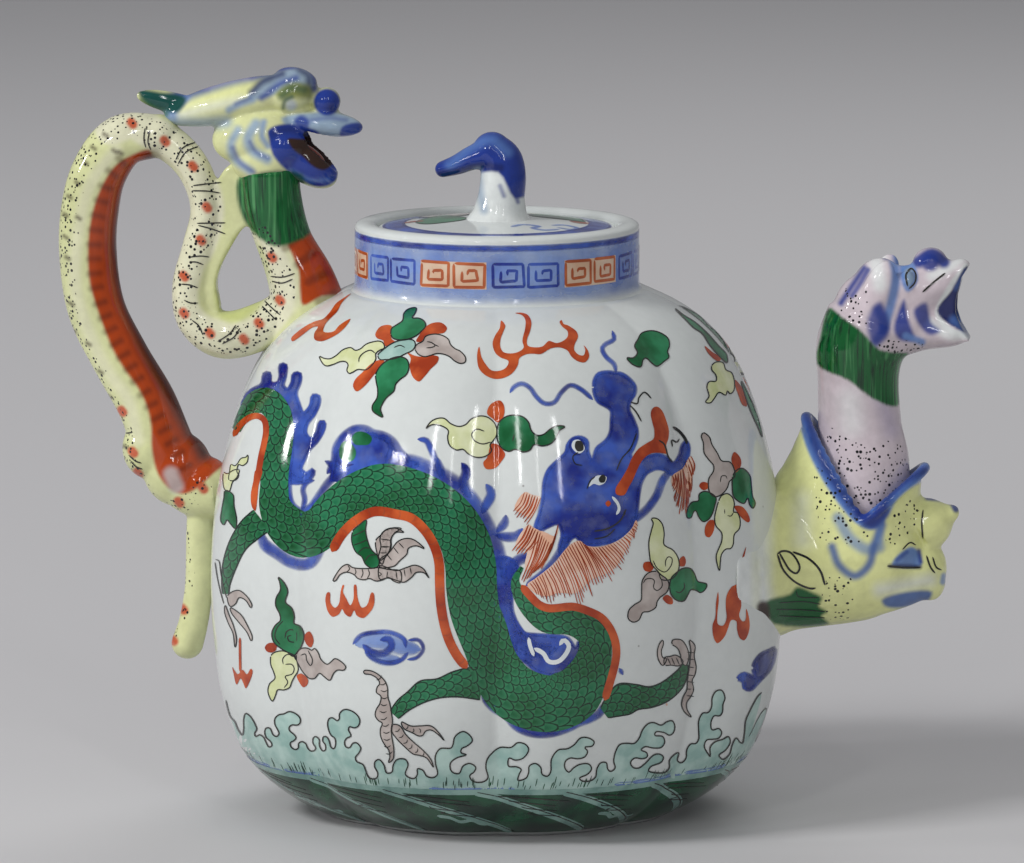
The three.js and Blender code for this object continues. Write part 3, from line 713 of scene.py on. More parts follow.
MOUTH_LINING = [
    (0.4, 0.05), (0.5, 0.25), (0.655, 0.36), (0.66, 0.25), (0.625, 0.13), (0.62, 0.02),
    (0.655, -0.08), (0.73, -0.2), (0.57, -0.2), (0.42, -0.09),
]  # fmt: skip
UPPER_JAW = [
    (0.084, 0.074, 0.273, 0.2425), (0.366, 0.172, 0.2, 0.2), (0.5625, 0.273, 0.127, 0.17),
    (0.647, 0.32, 0.091, 0.133),
]  # fmt: skip
LOWER_JAW = [
    (0.084, -0.121, 0.258, 0.2425), (0.366, -0.121, 0.17, 0.2), (0.591, -0.148, 0.103, 0.17),
    (0.682, -0.133, 0.082, 0.133),
]  # fmt: skip
SPOUT_NOSE = [(0.7, 0.555, 0.42, 0.42), (0.8, 0.572, 0.3, 0.32), (0.86, 0.582, 0.12, 0.16)]
SPOUT_BROW, SPOUT_BROW_AT = [((0, 0, 0), (0.242, 0.372, 0.353), 10)], (0.74, 0.46)
SPOUT_HEAD = [
    ((0, 0, 0), (0.3, 0.28, 0.31), 0),
    ((0.03, 0, 0.16), (0.2, 0.22, 0.25), -15),
    ((0.22, 0, -0.06), (0.27, 0.24, 0.22), 0),
    ((0.42, 0, 0.375), (0.13, 0.135, 0.115), 12),
    *[((0.04, y, 0.16), (0.12, 0.075, 0.27), -20) for y in (0.215, -0.215)],
    *[((0.25, y, 0.22), (0.07, 0.06, 0.12), -10) for y in (0.17, -0.17)],
]


def spout_place(out, up):
    return BODY_RADIUS + out * SPOUT_REACH, up * BODY_HEIGHT


SPOUT_HEAD_AT = spout_place(0.44, 0.966)


def upper_place(x, z):
    return SPOUT_HEAD_AT[0] + x * SPOUT_HEAD_LENGTH, SPOUT_HEAD_AT[1] + z * SPOUT_HEAD_LENGTH


def strand_tool(place, radius, shares):
    tool = bmesh.new()
    strand(tool, rows_on(place, radius, shares))
    return tool


print("spout tables", len(TRUNK), len(MUZZLE), len(SPOUT_HEAD))


# %% Lower beast
LIP_RADIUS = 1.5 * MM
ROOT_VOXEL = 0.42 * MM
OVERRUN = 2 * MM


def lips_tool():
    back_corner, low, front = (spout_place(*p) for p in LIPS)
    top = BODY_HEIGHT
    past, before = front[0] + OVERRUN, back_corner[0] - OVERRUN
    above = [(past, front[1]), (past, top), (before, top), (before, back_corner[1])]
    tool = bmesh.new()
    slab(tool, [back_corner, low, front, *above], 4 * ROOT_RADIUS)
    return tool


LIP_STEPS = 56
LIP_AXES = (14.2 * MM, 13.2 * MM)


def rolled_lip(clay):
    """A roll of clay along the edge that the cut left round the muzzle."""
    corners = np.array([spout_place(*p) for p in LIPS])
    middle = spout_place(MUZZLE[-1][0], 0)[0]
    for turn in np.linspace(0, 2 * math.pi, LIP_STEPS, endpoint=False):
        x, y = middle + LIP_AXES[0] * math.cos(turn), LIP_AXES[1] * math.sin(turn)
        z = np.interp(x, corners[:, 0], corners[:, 1])
        at = Matrix.Translation((x, y, z))
        bmesh.ops.create_icosphere(clay, subdivisions=2, radius=LIP_RADIUS, matrix=at)


def lower_beast():
    clay = bmesh.new()
    strand(clay, rows_on(spout_place, ROOT_RADIUS, TRUNK), round_end=True)
    strand(clay, rows_on(spout_place, ROOT_RADIUS, MUZZLE))
    for rows in (SPOUT_NOSE, CHIN):
        strand(clay, rows_on(spout_place, ROOT_RADIUS, rows), round_end=True)
    lumps_of(clay, SPOUT_BROW, ROOT_RADIUS, spout_place(*SPOUT_BROW_AT))
    bores = [strand_tool(spout_place, CHANNEL_RADIUS, CHANNEL)]
    cuts = {"tools": [lips_tool()], "added": rolled_lip, "late_tools": bores}
    return modelled("lower_beast", clay, ROOT_VOXEL, **cuts)


lower_mesh = lower_beast()

# %% Upper beast
UPPER_VOXEL = 0.36 * MM


def gap_tool():
    tool = bmesh.new()
    slab(tool, [upper_place(*p) for p in JAW_GAP], 2 * SPOUT_HEAD_LENGTH)
    return tool


def mouth_lining(clay):
    slab(clay, [upper_place(*p) for p in MOUTH_LINING], LINING_WIDTH * SPOUT_HEAD_LENGTH)


def upper_beast():
    clay = bmesh.new()
    strand(clay, rows_on(spout_place, SPOUT_NECK_RADIUS, SPOUT_NECK))
    for jaw in (UPPER_JAW, LOWER_JAW):
        strand(clay, rows_on(upper_place, SPOUT_HEAD_LENGTH, jaw), round_end=True)
    lumps_of(clay, SPOUT_HEAD, SPOUT_HEAD_LENGTH, SPOUT_HEAD_AT)
    channel = strand_tool(spout_place, CHANNEL_RADIUS, CHANNEL)
    throat = strand_tool(upper_place, SPOUT_HEAD_LENGTH, THROAT)
    cuts = {"tools": [gap_tool()], "added": mouth_lining, "late_tools": [channel, throat]}
    return modelled("upper_beast", clay, UPPER_VOXEL, **cuts)


upper_mesh = upper_beast()

# %% [markdown]
# The handle is one serpent. Its neck stands on the shoulder, its body drops into a loop, climbs
# to the top, and falls in the long arc that the hand holds, to a heel on the belly of the pot
# and a tail below it. A thin web of clay joins the loop and the neck.

# %% Handle
HANDLE_REACH, GRIP_RADIUS, LOOP_RADIUS = 35 * MM, 7 * MM, 4.4 * MM
HANDLE_NECK_RADIUS, TAIL_RADIUS, WEB_THICKNESS = 7.2 * MM, 3.4 * MM, 5 * MM
HANDLE_NECK = [
    (-0.75, 0.89, 1.5, 1.15), (-0.67, 1.003, 1.15, 1.05), (-0.537, 1.092, 0.94, 0.95),
    (-0.466, 1.16, 0.99, 0.97), (-0.44, 1.225, 1, 1),
]  # fmt: skip
LOOP = [
    (-0.65, 0.965, 1.3, 1.15), (-0.42, 0.927, 1.3, 1.2), (-0.13, 0.905, 1.32, 1.2),
    (0.055, 0.934, 1.14, 1.12), (0.108, 0.995, 0.98, 1.05), (0.05, 1.07, 0.9, 1),
    (-0.005, 1.148, 0.85, 0.95), (0.068, 1.22, 0.92, 1), (0.22, 1.268, 1, 1.05),
    (0.4, 1.292, 1.1, 1.1),
]  # fmt: skip
ARC = [
    (0.32, 1.288, 0.74, 0.8), (0.57, 1.276, 0.92, 0.85), (0.73, 1.216, 0.96, 0.86),
    (0.8, 1.135, 1, 0.88), (0.81, 1.056, 1, 0.88), (0.754, 0.952, 1, 0.88),
    (0.59, 0.858, 1, 0.9), (0.41, 0.77, 1.03, 0.95), (0.31, 0.7, 1.05, 1), (0.2, 0.635, 1, 1),
    (0.04, 0.6, 0.92, 1), (-0.08, 0.6, 0.95, 1.05),
]  # fmt: skip
ARC_HEEL = [
    ((0, 0, 0), (1.2, 1.08, 1.3), 0), ((0.9, 0, -0.5), (1.0, 1.05, 0.95), 0),
    ((-0.9, 0, 0.7), (1.0, 1.0, 1.1), 0),
]  # fmt: skip
ARC_HEEL_AT = (0.2, 0.645)
TAIL = [
    (0.03, 0.6, 1, 1.05), (0.045, 0.512, 1, 1.1), (0.055, 0.416, 1, 1.1),
    (0.095, 0.344, 1.06, 1.15), (0.135, 0.306, 1.15, 1.2),
]  # fmt: skip
WEB_EDGE = [
    (-0.2, 1.24), (0, 1.15), (0.09, 1.05), (0.09, 0.97), (-0.02, 0.93), (-0.1, 0.95),
    (-0.08, 1.01), (-0.18, 1.075), (-0.3, 1.118), (-0.42, 1.09), (-0.46, 1.16), (-0.44, 1.23),
]  # fmt: skip
HANDLE_VOXEL = 0.43 * MM


def handle_place(out, up):
    return -BODY_RADIUS - out * HANDLE_REACH, up * BODY_HEIGHT


def serpent():
    clay = bmesh.new()
    strand(clay, rows_on(handle_place, HANDLE_NECK_RADIUS, HANDLE_NECK))
    strand(clay, rows_on(handle_place, LOOP_RADIUS, LOOP), round_end=True)
    strand(clay, rows_on(handle_place, GRIP_RADIUS, ARC), round_start=True)
    strand(clay, rows_on(handle_place, TAIL_RADIUS, TAIL), round_end=True)
    lumps_of(clay, ARC_HEEL, GRIP_RADIUS, handle_place(*ARC_HEEL_AT))
    web = smooth_curve([handle_place(*p) for p in WEB_EDGE], 4, closed=True)
    slab(clay, web, WEB_THICKNESS)
    return modelled("serpent", clay, HANDLE_VOXEL, rounds=7)


serpent_mesh = serpent()

# %% Handle head
HANDLE_HEAD_LENGTH = 48 * MM
HANDLE_HEAD_AT = handle_place(-0.434, 1.264)
HANDLE_HEAD = [
    ((-0.042, 0, 0.065), (0.24, 0.156, 0.15), 8),
    ((-0.01, 0, -0.05), (0.18, 0.155, 0.14), 0),
    ((0.08, 0, 0.02), (0.16, 0.155, 0.13), 0),
    ((-0.15, 0, 0.24), (0.38, 0.12, 0.105), 13),
    ((0.11, 0, 0.28), (0.13, 0.12, 0.1), 10),
    ((0.27, 0, 0.135), (0.21, 0.115, 0.066), -7),
    ((0.14, 0, 0.345), (0.11, 0.1, 0.065), -12),
]
HANDLE_JAW = [((0.18, 0, -0.045), (0.2, 0.12, 0.11), -38)]
HANDLE_GAPE = [((0.265, 0, 0.025), (0.22, 0.088, 0.085), -34)]
HANDLE_TONGUE = [((0.2, 0, -0.015), (0.105, 0.055, 0.034), -34)]
HANDLE_NOSE = [((0.294, 0, 0.242), (0.072, 0.072, 0.072), 0)]
HANDLE_CREST = [((-0.47, 0, 0.225), (0.2, 0.035, 0.055), -12)]
HEAD_VOXEL, TONGUE_VOXEL = 0.32 * MM, 0.4 * MM


def serpent_head():
    clay = bmesh.new()
    for rows in (HANDLE_HEAD, HANDLE_JAW, HANDLE_NOSE, HANDLE_CREST):
        lumps_of(clay, rows, HANDLE_HEAD_LENGTH, HANDLE_HEAD_AT)
    tool = bmesh.new()
    lumps_of(tool, HANDLE_GAPE, HANDLE_HEAD_LENGTH, HANDLE_HEAD_AT)
    return modelled("serpent_head", clay, HEAD_VOXEL, rounds=5, tools=[tool])


def tongue():
    clay = bmesh.new()
    lumps_of(clay, HANDLE_TONGUE, HANDLE_HEAD_LENGTH, HANDLE_HEAD_AT)
    return modelled("tongue", clay, TONGUE_VOXEL)


head_mesh, tongue_mesh = serpent_head(), tongue()

# %% [markdown]
# The lid is a low dome with a flange that keeps it from sliding off, and its knob is a bird's
# neck and head.

# %% Lid
LID_CLEARANCE = 0.5 * MM
FLANGE_CLEARANCE, FLANGE_WALL, FLANGE_DEPTH = 0.8 * MM, 2.6 * MM, 7 * MM
KNOB_HEIGHT, KNOB_RADIUS, KNOB_VOXEL = 19 * MM, 5.8 * MM, 0.34 * MM
KNOB_NECK = [
    (0.03, -0.05, 1.42, 1.42), (0.04, 0.08, 1.12, 1.12), (0.06, 0.3, 0.96, 0.96),
    (0.08, 0.52, 0.94, 0.9), (0.05, 0.72, 0.9, 0.86), (-0.06, 0.84, 0.82, 0.8),
]  # fmt: skip
BEAK = [
    (-0.1, 0.81, 0.74, 0.76), (-0.3, 0.76, 0.52, 0.66), (-0.5, 0.67, 0.42, 0.58),
    (-0.68, 0.61, 0.34, 0.46),
]  # fmt: skip


def lid_profile():
    radius = WELL_RADIUS - LID_CLEARANCE
    low = ledge + GAP
    flange = MOUTH_RADIUS - FLANGE_CLEARANCE
    soft, bevel = FLANGE_WALL / 4, LID_THICKNESS / 4
    top = ledge + LID_THICKNESS
    under = [
        (0, low), (flange - FLANGE_WALL, low), (flange - FLANGE_WALL, low - FLANGE_DEPTH),
        (flange - soft, low - FLANGE_DEPTH), (flange, low - FLANGE_DEPTH + soft), (flange, low),
    ]  # fmt: skip
    edge = arc_of((radius - bevel, low + bevel), (bevel, bevel), 270, 360, 4)
    rim = arc_of((radius - bevel, top - bevel), (bevel, bevel), 0, 90, 5)
    share = np.linspace(1, 0, 24)[1:]
    dome = np.stack([share * (radius - bevel), top + LID_DOME * (1 - share**2)], axis=1)
    return np.concatenate([under, edge, rim, dome])


lid_mesh = spun("lid", lid_profile(), COLLAR_STEPS)
lid_nodes = ["lid_plate", "lid_flange"]
place_piece("painted_lid", lid_mesh, porcelain, body="lid", replaces=lid_nodes)


def knob():
    seat = ledge + LID_THICKNESS + LID_DOME

    def knob_place(x, z):
        return x * KNOB_HEIGHT, seat + z * KNOB_HEIGHT

    clay = bmesh.new()
    strand(clay, rows_on(knob_place, KNOB_RADIUS, KNOB_NECK), round_end=True)
    strand(clay, rows_on(knob_place, KNOB_RADIUS, BEAK), round_end=True)
    return modelled("knob", clay, KNOB_VOXEL)


knob_mesh = knob()

# %% [markdown]
# The beasts were painted with soft washes of enamel, one over another. Each wash is an area, or a
# line with a width, in the photograph's pixels. A few pale washes are painted highlights instead,
# where the glaze shines. The clay is alike on both sides, so both sides take the paint of the side
# that the camera sees. The washes go into a colour on each point of the clay, and three more values
# say where a finish adds speckles, combed hairs or dark bands.


# %% Washes
def tint(red, green, blue):
    """A colour as a screen shows it, 0 to 255, in the renderer's own numbers."""
    share = np.array([red, green, blue]) / 255
    return tuple(np.where(share <= 0.04045, share / 12.92, ((share + 0.055) / 1.055) ** 2.4))


GLAZES = {
    "white": tint(222, 226, 224), "cream": tint(220, 218, 190), "lemon": tint(226, 229, 160),
    "yellow": tint(209, 212, 158), "moss": tint(184, 192, 116), "olive": tint(128, 136, 66),
    "red": tint(172, 62, 8), "rust": tint(120, 36, 8), "spot": tint(192, 92, 60),
    "pink": tint(205, 192, 198), "cobalt": tint(30, 54, 138), "ink": tint(22, 30, 84),
    "sky": tint(96, 132, 192), "mist": tint(138, 160, 184), "lilac": tint(158, 150, 190),
    "steel": tint(66, 98, 160), "green": tint(12, 90, 42), "leaf": tint(70, 150, 104),
    "umber": tint(50, 30, 22), "pearl": tint(190, 200, 200), "teal": tint(14, 72, 66),
    "bark": tint(74, 26, 12),
}  # fmt: skip
MARKS = ("dots", "comb", "bands")


def from_segment(points, a, b):
    along = b - a
    share = np.clip(((points - a) @ along) / max(along @ along, 1e-9), 0, 1)
    return np.linalg.norm(points - a - share[:, None] * along, axis=1)


def depth_in(points, outline):
    """How many pixels deep inside an outline the points lie; negative outside it."""
    nearest = np.full(len(points), np.inf)
    within = np.zeros(len(points), bool)
    for a, b in zip(outline, np.roll(outline, -1, axis=0)):
        nearest = np.minimum(nearest, from_segment(points, a, b))
        rise = b[1] - a[1] if abs(b[1] - a[1]) > 1e-9 else 1e-9
        crossing = (a[1] > points[:, 1]) != (b[1] > points[:, 1])
        edge = a[0] + (points[:, 1] - a[1]) / rise * (b[0] - a[0])
        within ^= crossing & (points[:, 0] < edge)
    return np.where(within, nearest, -nearest)


def depth_on(points, line, width):
    nearest = np.full(len(points), np.inf)
    for a, b in zip(line, line[1:]):
        nearest = np.minimum(nearest, from_segment(points, a, b))
    return width / 2 - nearest


def pairs(numbers):
    return np.asarray(numbers, float).reshape(-1, 2)


def paint_clay(mesh, base, washes):
    """Washes are (glaze or mark, width or 0 for an area, softness, strength, x, y, x, y, ...)."""
    where = coords(mesh)
    where[:, 1] = -np.abs(where[:, 1])
    seen = pixels_of(where)
    colour = np.tile(np.array(GLAZES[base]), (len(seen), 1))
    marks = np.zeros((len(seen), 3))
    for name, width, soft, strength, *numbers in washes:
        points = pairs(numbers)
        if len(points) == 1:
            depth = width / 2 - np.linalg.norm(seen - points[0], axis=1)
        elif width:
            depth = depth_on(seen, smooth_curve(points, 5), width)
        else:
            depth = depth_in(seen, smooth_curve(points, 4, closed=True))
        cover = (strength * smoothstep(-soft, soft, depth))[:, None]
        if name in MARKS:
            column = MARKS.index(name)
            marks[:, column] = np.maximum(marks[:, column], cover[:, 0])
        else:
            colour = colour * (1 - cover) + np.array(GLAZES[name]) * cover
    for name, values in (("paint", colour), ("marks", marks)):
        layer = mesh.attributes.new(name, "FLOAT_COLOR", "POINT")
        opaque = np.c_[values, np.ones(len(values))].astype(np.float32)
        layer.data.foreach_set("color", opaque.ravel())


HAIR_SCALES, LIGHT_SCALES, RING_SCALES = (1500, 1500, 45), (900, 900, 30), (60, 60, 330)
HAIR_COLOUR, LIGHT_COLOUR, RING_COLOUR = tint(10, 40, 26), tint(96, 172, 108), tint(66, 20, 10)
DOT_SCALE, DOT_SIZES, DOT_COLOUR = 980, (0.22, 0.44), tint(26, 26, 30)


def streaks(tree, scales, detail, low, high, strength):
    """Noise drawn out along one axis, as a mask."""
    mapping = add_node(tree, "ShaderNodeMapping")
    mapping.inputs["Scale"].default_value = scales
    wire(tree, object_place(tree), mapping.inputs["Vector"])
    noise = noise_node(tree, mapping.outputs[0], 1, detail)
    return span_node(tree, noise, low, high, 0.0, strength)


def washes_group():
    """The colour of the washes with their speckles, combed hairs and bands."""
    group, given, result = new_group("washes", [], [("Colour", "NodeSocketColor")])
    paint = attribute(group, "paint", "Color")
    marks = add_node(group, "ShaderNodeSeparateColor")
    wire(group, attribute(group, "marks", "Color"), marks.inputs[0])
    dots, comb, bands = marks.outputs
    hairs = product(group, streaks(group, HAIR_SCALES, 3, 0.5, 0.68, 0.85), comb)
    light = product(group, streaks(group, LIGHT_SCALES, 2, 0.52, 0.7, 0.5), comb)
    rings = product(group, streaks(group, RING_SCALES, 3, 0.46, 0.66, 0.8), bands)
    combed = mix_node(group, hairs, paint, HAIR_COLOUR)
    combed = mix_node(group, light, combed, LIGHT_COLOUR)
    banded = mix_node(group, rings, combed, RING_COLOUR)
    distance, chance = cells_node(group, object_place(group), DOT_SCALE)
    size = span_node(group, chance[1], 0.0, 1.0, *DOT_SIZES)
    inked = span_node(group, math_node(group, "SUBTRACT", size, distance), 0.0, 0.08)
    dot = product(group, inked, math_node(group, "LESS_THAN", chance[0], dots))
    wire(group, mix_node(group, dot, banded, DOT_COLOUR), result.inputs[0])
    return group


WASHES = washes_group()


def washed(tree):
    return add_node(tree, "ShaderNodeGroup", node_tree=WASHES).outputs[0]


washed_clay = glazed("washed enamel and painted highlights", washed, tone=0.12)
print("washes ready")

# %% Wash the handle
ARC_BELLY = [
    149, 150, 130, 156, 115, 166, 103, 184, 94, 207, 89, 233, 88, 260, 90, 284, 96, 305, 103, 325,
    113, 350, 125, 370, 138, 388, 146, 404, 151, 425, 152, 450, 158, 474, 171, 490, 183, 494,
    196, 489, 213, 474, 228, 458, 205, 430, 185, 395, 165, 355, 150, 325, 136, 290, 130, 250,
    131, 210, 140, 178, 152, 156,
]  # fmt: skip
COIL = [
    112, 128, 132, 122, 150, 131, 166, 141, 184, 154, 195, 168, 203, 190, 207, 208, 205, 226, 200,
    242, 190, 260, 184, 278, 181, 298, 186, 316, 198, 329, 214, 336, 232, 341, 248, 336, 262, 324,
    275, 308, 279, 290, 275, 272, 268, 256, 262, 240,
]  # fmt: skip
SPOTS = [
    132, 123, 165, 141, 193, 166, 207, 207, 201, 240, 184, 276, 184, 313, 210, 333, 244, 339,
    259, 323, 280, 300, 272, 257, 138, 473, 142, 490, 154, 504, 179, 502, 133, 452, 122, 411,
    183, 609, 173, 640, 203, 488,
]  # fmt: skip
BLOTCHES = [
    64, 214, 77, 217, 66, 257, 64, 236, 70, 303, 72, 330, 87, 343, 99, 371, 76, 182, 92, 147, 104,
    134, 113, 150, 119, 152, 68, 196, 84, 162, 108, 396, 115, 420, 124, 446,
]  # fmt: skip
NECK_RED = [288, 243, 312, 230, 345, 292, 322, 296, 303, 305, 300, 290, 299, 272, 292, 254]
COLLAR_GREEN = [
    240, 176, 238, 200, 246, 223, 257, 236, 274, 246, 292, 243, 312, 230, 306, 200, 300, 172, 270,
    168,
]  # fmt: skip
ARC_SPINE = [
    136, 156, 116, 178, 105, 212, 100, 250, 103, 290, 118, 332, 140, 372, 162, 412, 184, 452, 196,
    474,
]  # fmt: skip
ARC_BACK = [126, 112, 94, 140, 74, 184, 64, 235, 64, 290, 80, 345, 104, 395, 122, 440, 132, 478]


def rungs(glaze, line, count, reach, width, strength=0.5, shift=0.0, soft=3.0):
    """Short strokes across a line, as rows of washes."""
    curve, _ = even_steps(smooth_curve(pairs(line), 6), 1.0)
    rows = []
    for share in np.linspace(0.04, 0.97, count):
        at = round(share * (len(curve) - 2))
        along = curve[at + 1] - curve[at]
        aside = sideways(along) / np.linalg.norm(along)
        ends = [curve[at] + aside * (shift + end) for end in (-reach, reach)]
        rows.append((glaze, width, soft, strength, *ends[0], *ends[1]))
    return rows


handle_washes = [
    ("cream", 34, 3, 0.9, *COIL),
    ("cream", 0, 3, 0.5, 255, 238, 290, 240, 300, 275, 302, 303, 270, 330, 240, 340, 262, 300, 266,
     270),
    ("dots", 27, 3, 0.95, *COIL), ("dots", 9, 3, 0.8, 262, 240, 275, 262, 284, 285),
    ("moss", 0, 4, 0.7, 226, 250, 240, 232, 262, 250, 268, 290, 250, 318, 222, 318, 214, 290),
    ("cream", 12, 5, 0.6, 116, 150, 90, 185, 78, 235, 76, 290, 92, 340, 110, 375, 128, 400, 138,
     440),
    ("dots", 20, 5, 0.95, *ARC_BACK),
    ("dots", 17, 4, 0.8, 124, 440, 134, 478, 150, 503, 180, 506, 204, 490),
    ("dots", 8, 3, 0.7, 186, 530, 189, 570, 185, 600, 176, 634), ("red", 0, 2.2, 1, *ARC_BELLY),
    ("bark", 16, 8, 1, 150, 160, 132, 182, 121, 220, 119, 262, 127, 300, 142, 338, 160, 374, 182,
     412, 204, 452),
    # The pearl wash at the heel is a painted highlight on the red belly.
    *rungs("bark", ARC_SPINE, 24, 5, 6, shift=-6), ("pearl", 15, 4, 0.6, 171, 474, 176, 486),
    ("red", 0, 2, 1, *NECK_RED), *rungs("bark", [290, 240, 310, 266, 328, 300], 4, 9, 8),
    ("green", 0, 2.5, 1, *COLLAR_GREEN), ("comb", 0, 3, 1, *COLLAR_GREEN),
    *[("umber", 3.5, 2.5, 0.8, x, y, x + 3, y + 2) for x, y in pairs(BLOTCHES)],
    *[("spot", 9, 1.8, 1, x - 1, y - 1, x + 1, y + 1.5) for x, y in pairs(SPOTS)],
]  # fmt: skip
paint_clay(serpent_mesh, "yellow", handle_washes)

CAVITY = [
    288, 139, 301, 139, 318, 140, 322, 148, 328, 155, 331, 165, 324, 170, 314, 167, 303, 157, 292,
    148,
]  # fmt: skip
LIPS_BLUE = [
    269, 140, 273, 155, 284, 168, 299, 178, 313, 186, 327, 186, 337, 179, 338, 168, 333, 160, 326,
    150, 322, 140, 318, 132, 305, 127, 288, 124, 275, 126, 268, 131,
]  # fmt: skip
head_washes = [
    ("lemon", 0, 6, 0.6, 176, 110, 206, 92, 250, 82, 262, 86, 240, 100, 200, 112),
    # The white stroke along the side of the top plate is a painted highlight, where the glaze
    # shines on the plate's bulge.
    ("white", 8, 6, 0.5, 178, 116, 205, 108, 240, 100),
    ("steel", 9, 5, 0.75, 172, 106, 188, 96, 210, 88, 236, 80, 268, 73),
    ("sky", 0, 4, 0.8, 157, 108, 182, 92, 190, 96, 178, 112, 176, 122, 160, 118),
    ("cobalt", 8, 5, 0.8, 157, 106, 182, 92, 206, 86),
    ("mist", 12, 6, 0.8, 176, 124, 200, 124, 226, 122),
    ("lilac", 9, 5, 0.9, 206, 84, 234, 76, 252, 74),
    ("cobalt", 10, 4, 0.95, 252, 73, 275, 69, 300, 67, 312, 74, 313, 88),
    ("mist", 0, 3, 0.9, 248, 96, 256, 86, 266, 77, 284, 71, 306, 70, 313, 84, 308, 88, 296, 84, 284,
     90, 266, 98, 252, 100),
    ("ink", 7, 4, 0.8, 252, 92, 262, 82, 282, 74), ("cobalt", 6, 4, 0.8, 262, 98, 280, 84, 296, 78),
    ("ink", 6, 4, 0.7, 300, 70, 308, 76, 309, 88),
    ("olive", 0, 4, 0.9, 276, 94, 288, 84, 310, 86, 312, 98, 296, 98, 282, 100),
    ("teal", 8, 4, 0.6, 282, 96, 292, 88, 304, 90), ("pearl", 11, 3, 0.95, 291, 105),
    ("teal", 4, 2, 0.7, 283, 108, 285, 101, 292, 97),
    ("mist", 7, 3, 0.9, 229, 110, 240, 104, 252, 100), ("cobalt", 3, 3, 0.6, 236, 104, 250, 98),
    ("mist", 0, 3, 0.95, 282, 118, 318, 112, 342, 113, 362, 122, 366, 132, 352, 140, 310, 134, 288,
     128),
    ("cobalt", 4, 3, 0.5, 312, 120, 330, 118, 346, 120),
    ("ink", 4, 3, 0.6, 300, 132, 322, 138, 344, 140),
    ("cobalt", 0, 2, 0.95, 342, 127, 362, 123, 370, 132, 361, 141, 341, 140),
    ("cobalt", 0, 3, 0.9, 294, 121, 301, 115, 309, 120, 308, 128, 298, 128),
    ("cobalt", 27, 2, 1, 327, 102), ("ink", 10, 5, 0.5, 331, 108),
    ("mist", 8, 4, 0.9, 238, 130, 231, 144, 234, 158, 250, 171),
    ("cobalt", 4, 3, 0.6, 233, 148, 240, 162, 254, 172),
    ("mist", 10, 4, 0.9, 256, 124, 248, 138, 252, 150, 267, 159),
    ("cobalt", 3, 3, 0.6, 250, 142, 256, 152, 268, 158),
    ("sky", 6, 3, 0.7, 264, 122, 262, 136, 268, 146), ("cobalt", 0, 2, 1, *LIPS_BLUE),
    ("ink", 6, 5, 0.5, 274, 132, 290, 130, 306, 134),
    ("sky", 4, 3, 0.5, 290, 170, 310, 180, 328, 180), ("umber", 0, 1.5, 1, *CAVITY),
    ("teal", 0, 3, 0.9, 252, 176, 302, 174, 302, 190, 250, 190),
    ("teal", 0, 3, 1, 138, 90, 160, 92, 186, 98, 178, 112, 160, 110, 146, 104),
    ("green", 5, 3, 0.7, 142, 100, 156, 110, 166, 114),
]  # fmt: skip
paint_clay(head_mesh, "yellow", head_washes)
paint_clay(tongue_mesh, "rust", [])
print("handle washes", len(handle_washes), "head washes", len(head_washes))

# %% Wash the spout
V_LIPS = [
    803, 404, 808, 420, 816, 446, 830, 474, 846, 498, 862, 516, 872, 520, 880, 510, 890, 494, 906,
    480, 924, 470,
]  # fmt: skip
root_washes = [
    ("white", 0, 9, 1, 740, 440, 764, 440, 758, 500, 756, 560, 752, 640, 740, 640),
    ("white", 16, 10, 1, 764, 470, 762, 550, 765, 630), ("white", 12, 8, 0.7, 880, 590, 930, 580),
    ("white", 14, 12, 0.5, 802, 500, 802, 540), ("bark", 12, 4, 0.9, 764, 612),
    # The white wash down the throat at x 802 is a painted highlight.
    ("dots", 0, 3, 0.7, 812, 466, 828, 474, 860, 512, 868, 540, 846, 546, 822, 540, 817, 498),
    ("dots", 0, 3, 0.6, 888, 522, 918, 496, 914, 533, 892, 546),
    ("dots", 0, 3, 0.7, 826, 578, 850, 578, 850, 616, 826, 616),
    ("mist", 11, 4, 0.9, 838, 518, 850, 538, 866, 549, 879, 547),
    ("steel", 8, 3.5, 0.9, 832, 547, 839, 565, 855, 576, 869, 565, 874, 546, 882, 525),
    ("sky", 8, 3, 0.6, 880, 520, 880, 540),
    ("sky", 0, 2, 0.95, 892, 565, 898, 555, 911, 547, 918, 551, 921, 566),
    ("ink", 4, 2, 0.8, 890, 566, 906, 566, 920, 567), ("cobalt", 4, 2, 0.9, 919, 551, 921, 562),
    ("cobalt", 4, 2, 0.6, 897, 560, 907, 552),
    ("steel", 0, 2.5, 0.95, 882, 600, 906, 592, 932, 592, 927, 602, 900, 608, 885, 606),
    ("cobalt", 7, 2, 0.9, 928, 497, 950, 500, 956, 509), ("sky", 6, 2, 0.8, 943, 582, 944, 576),
    ("sky", 19, 2, 1, *V_LIPS), ("cobalt", 12, 4, 0.75, *V_LIPS), ("ink", 5, 3, 0.5, *V_LIPS),
    ("cobalt", 14, 4, 0.9, 862, 512, 872, 522, 882, 512),
    ("green", 0, 2.5, 1, 766, 602, 790, 594, 797, 587, 812, 592, 822, 598, 819, 606, 827, 612, 822,
     616, 829, 624, 774, 624, 768, 616),
    ("umber", 12, 3, 1, 763, 607, 764, 616),
]  # fmt: skip
paint_clay(lower_mesh, "lemon", root_washes)

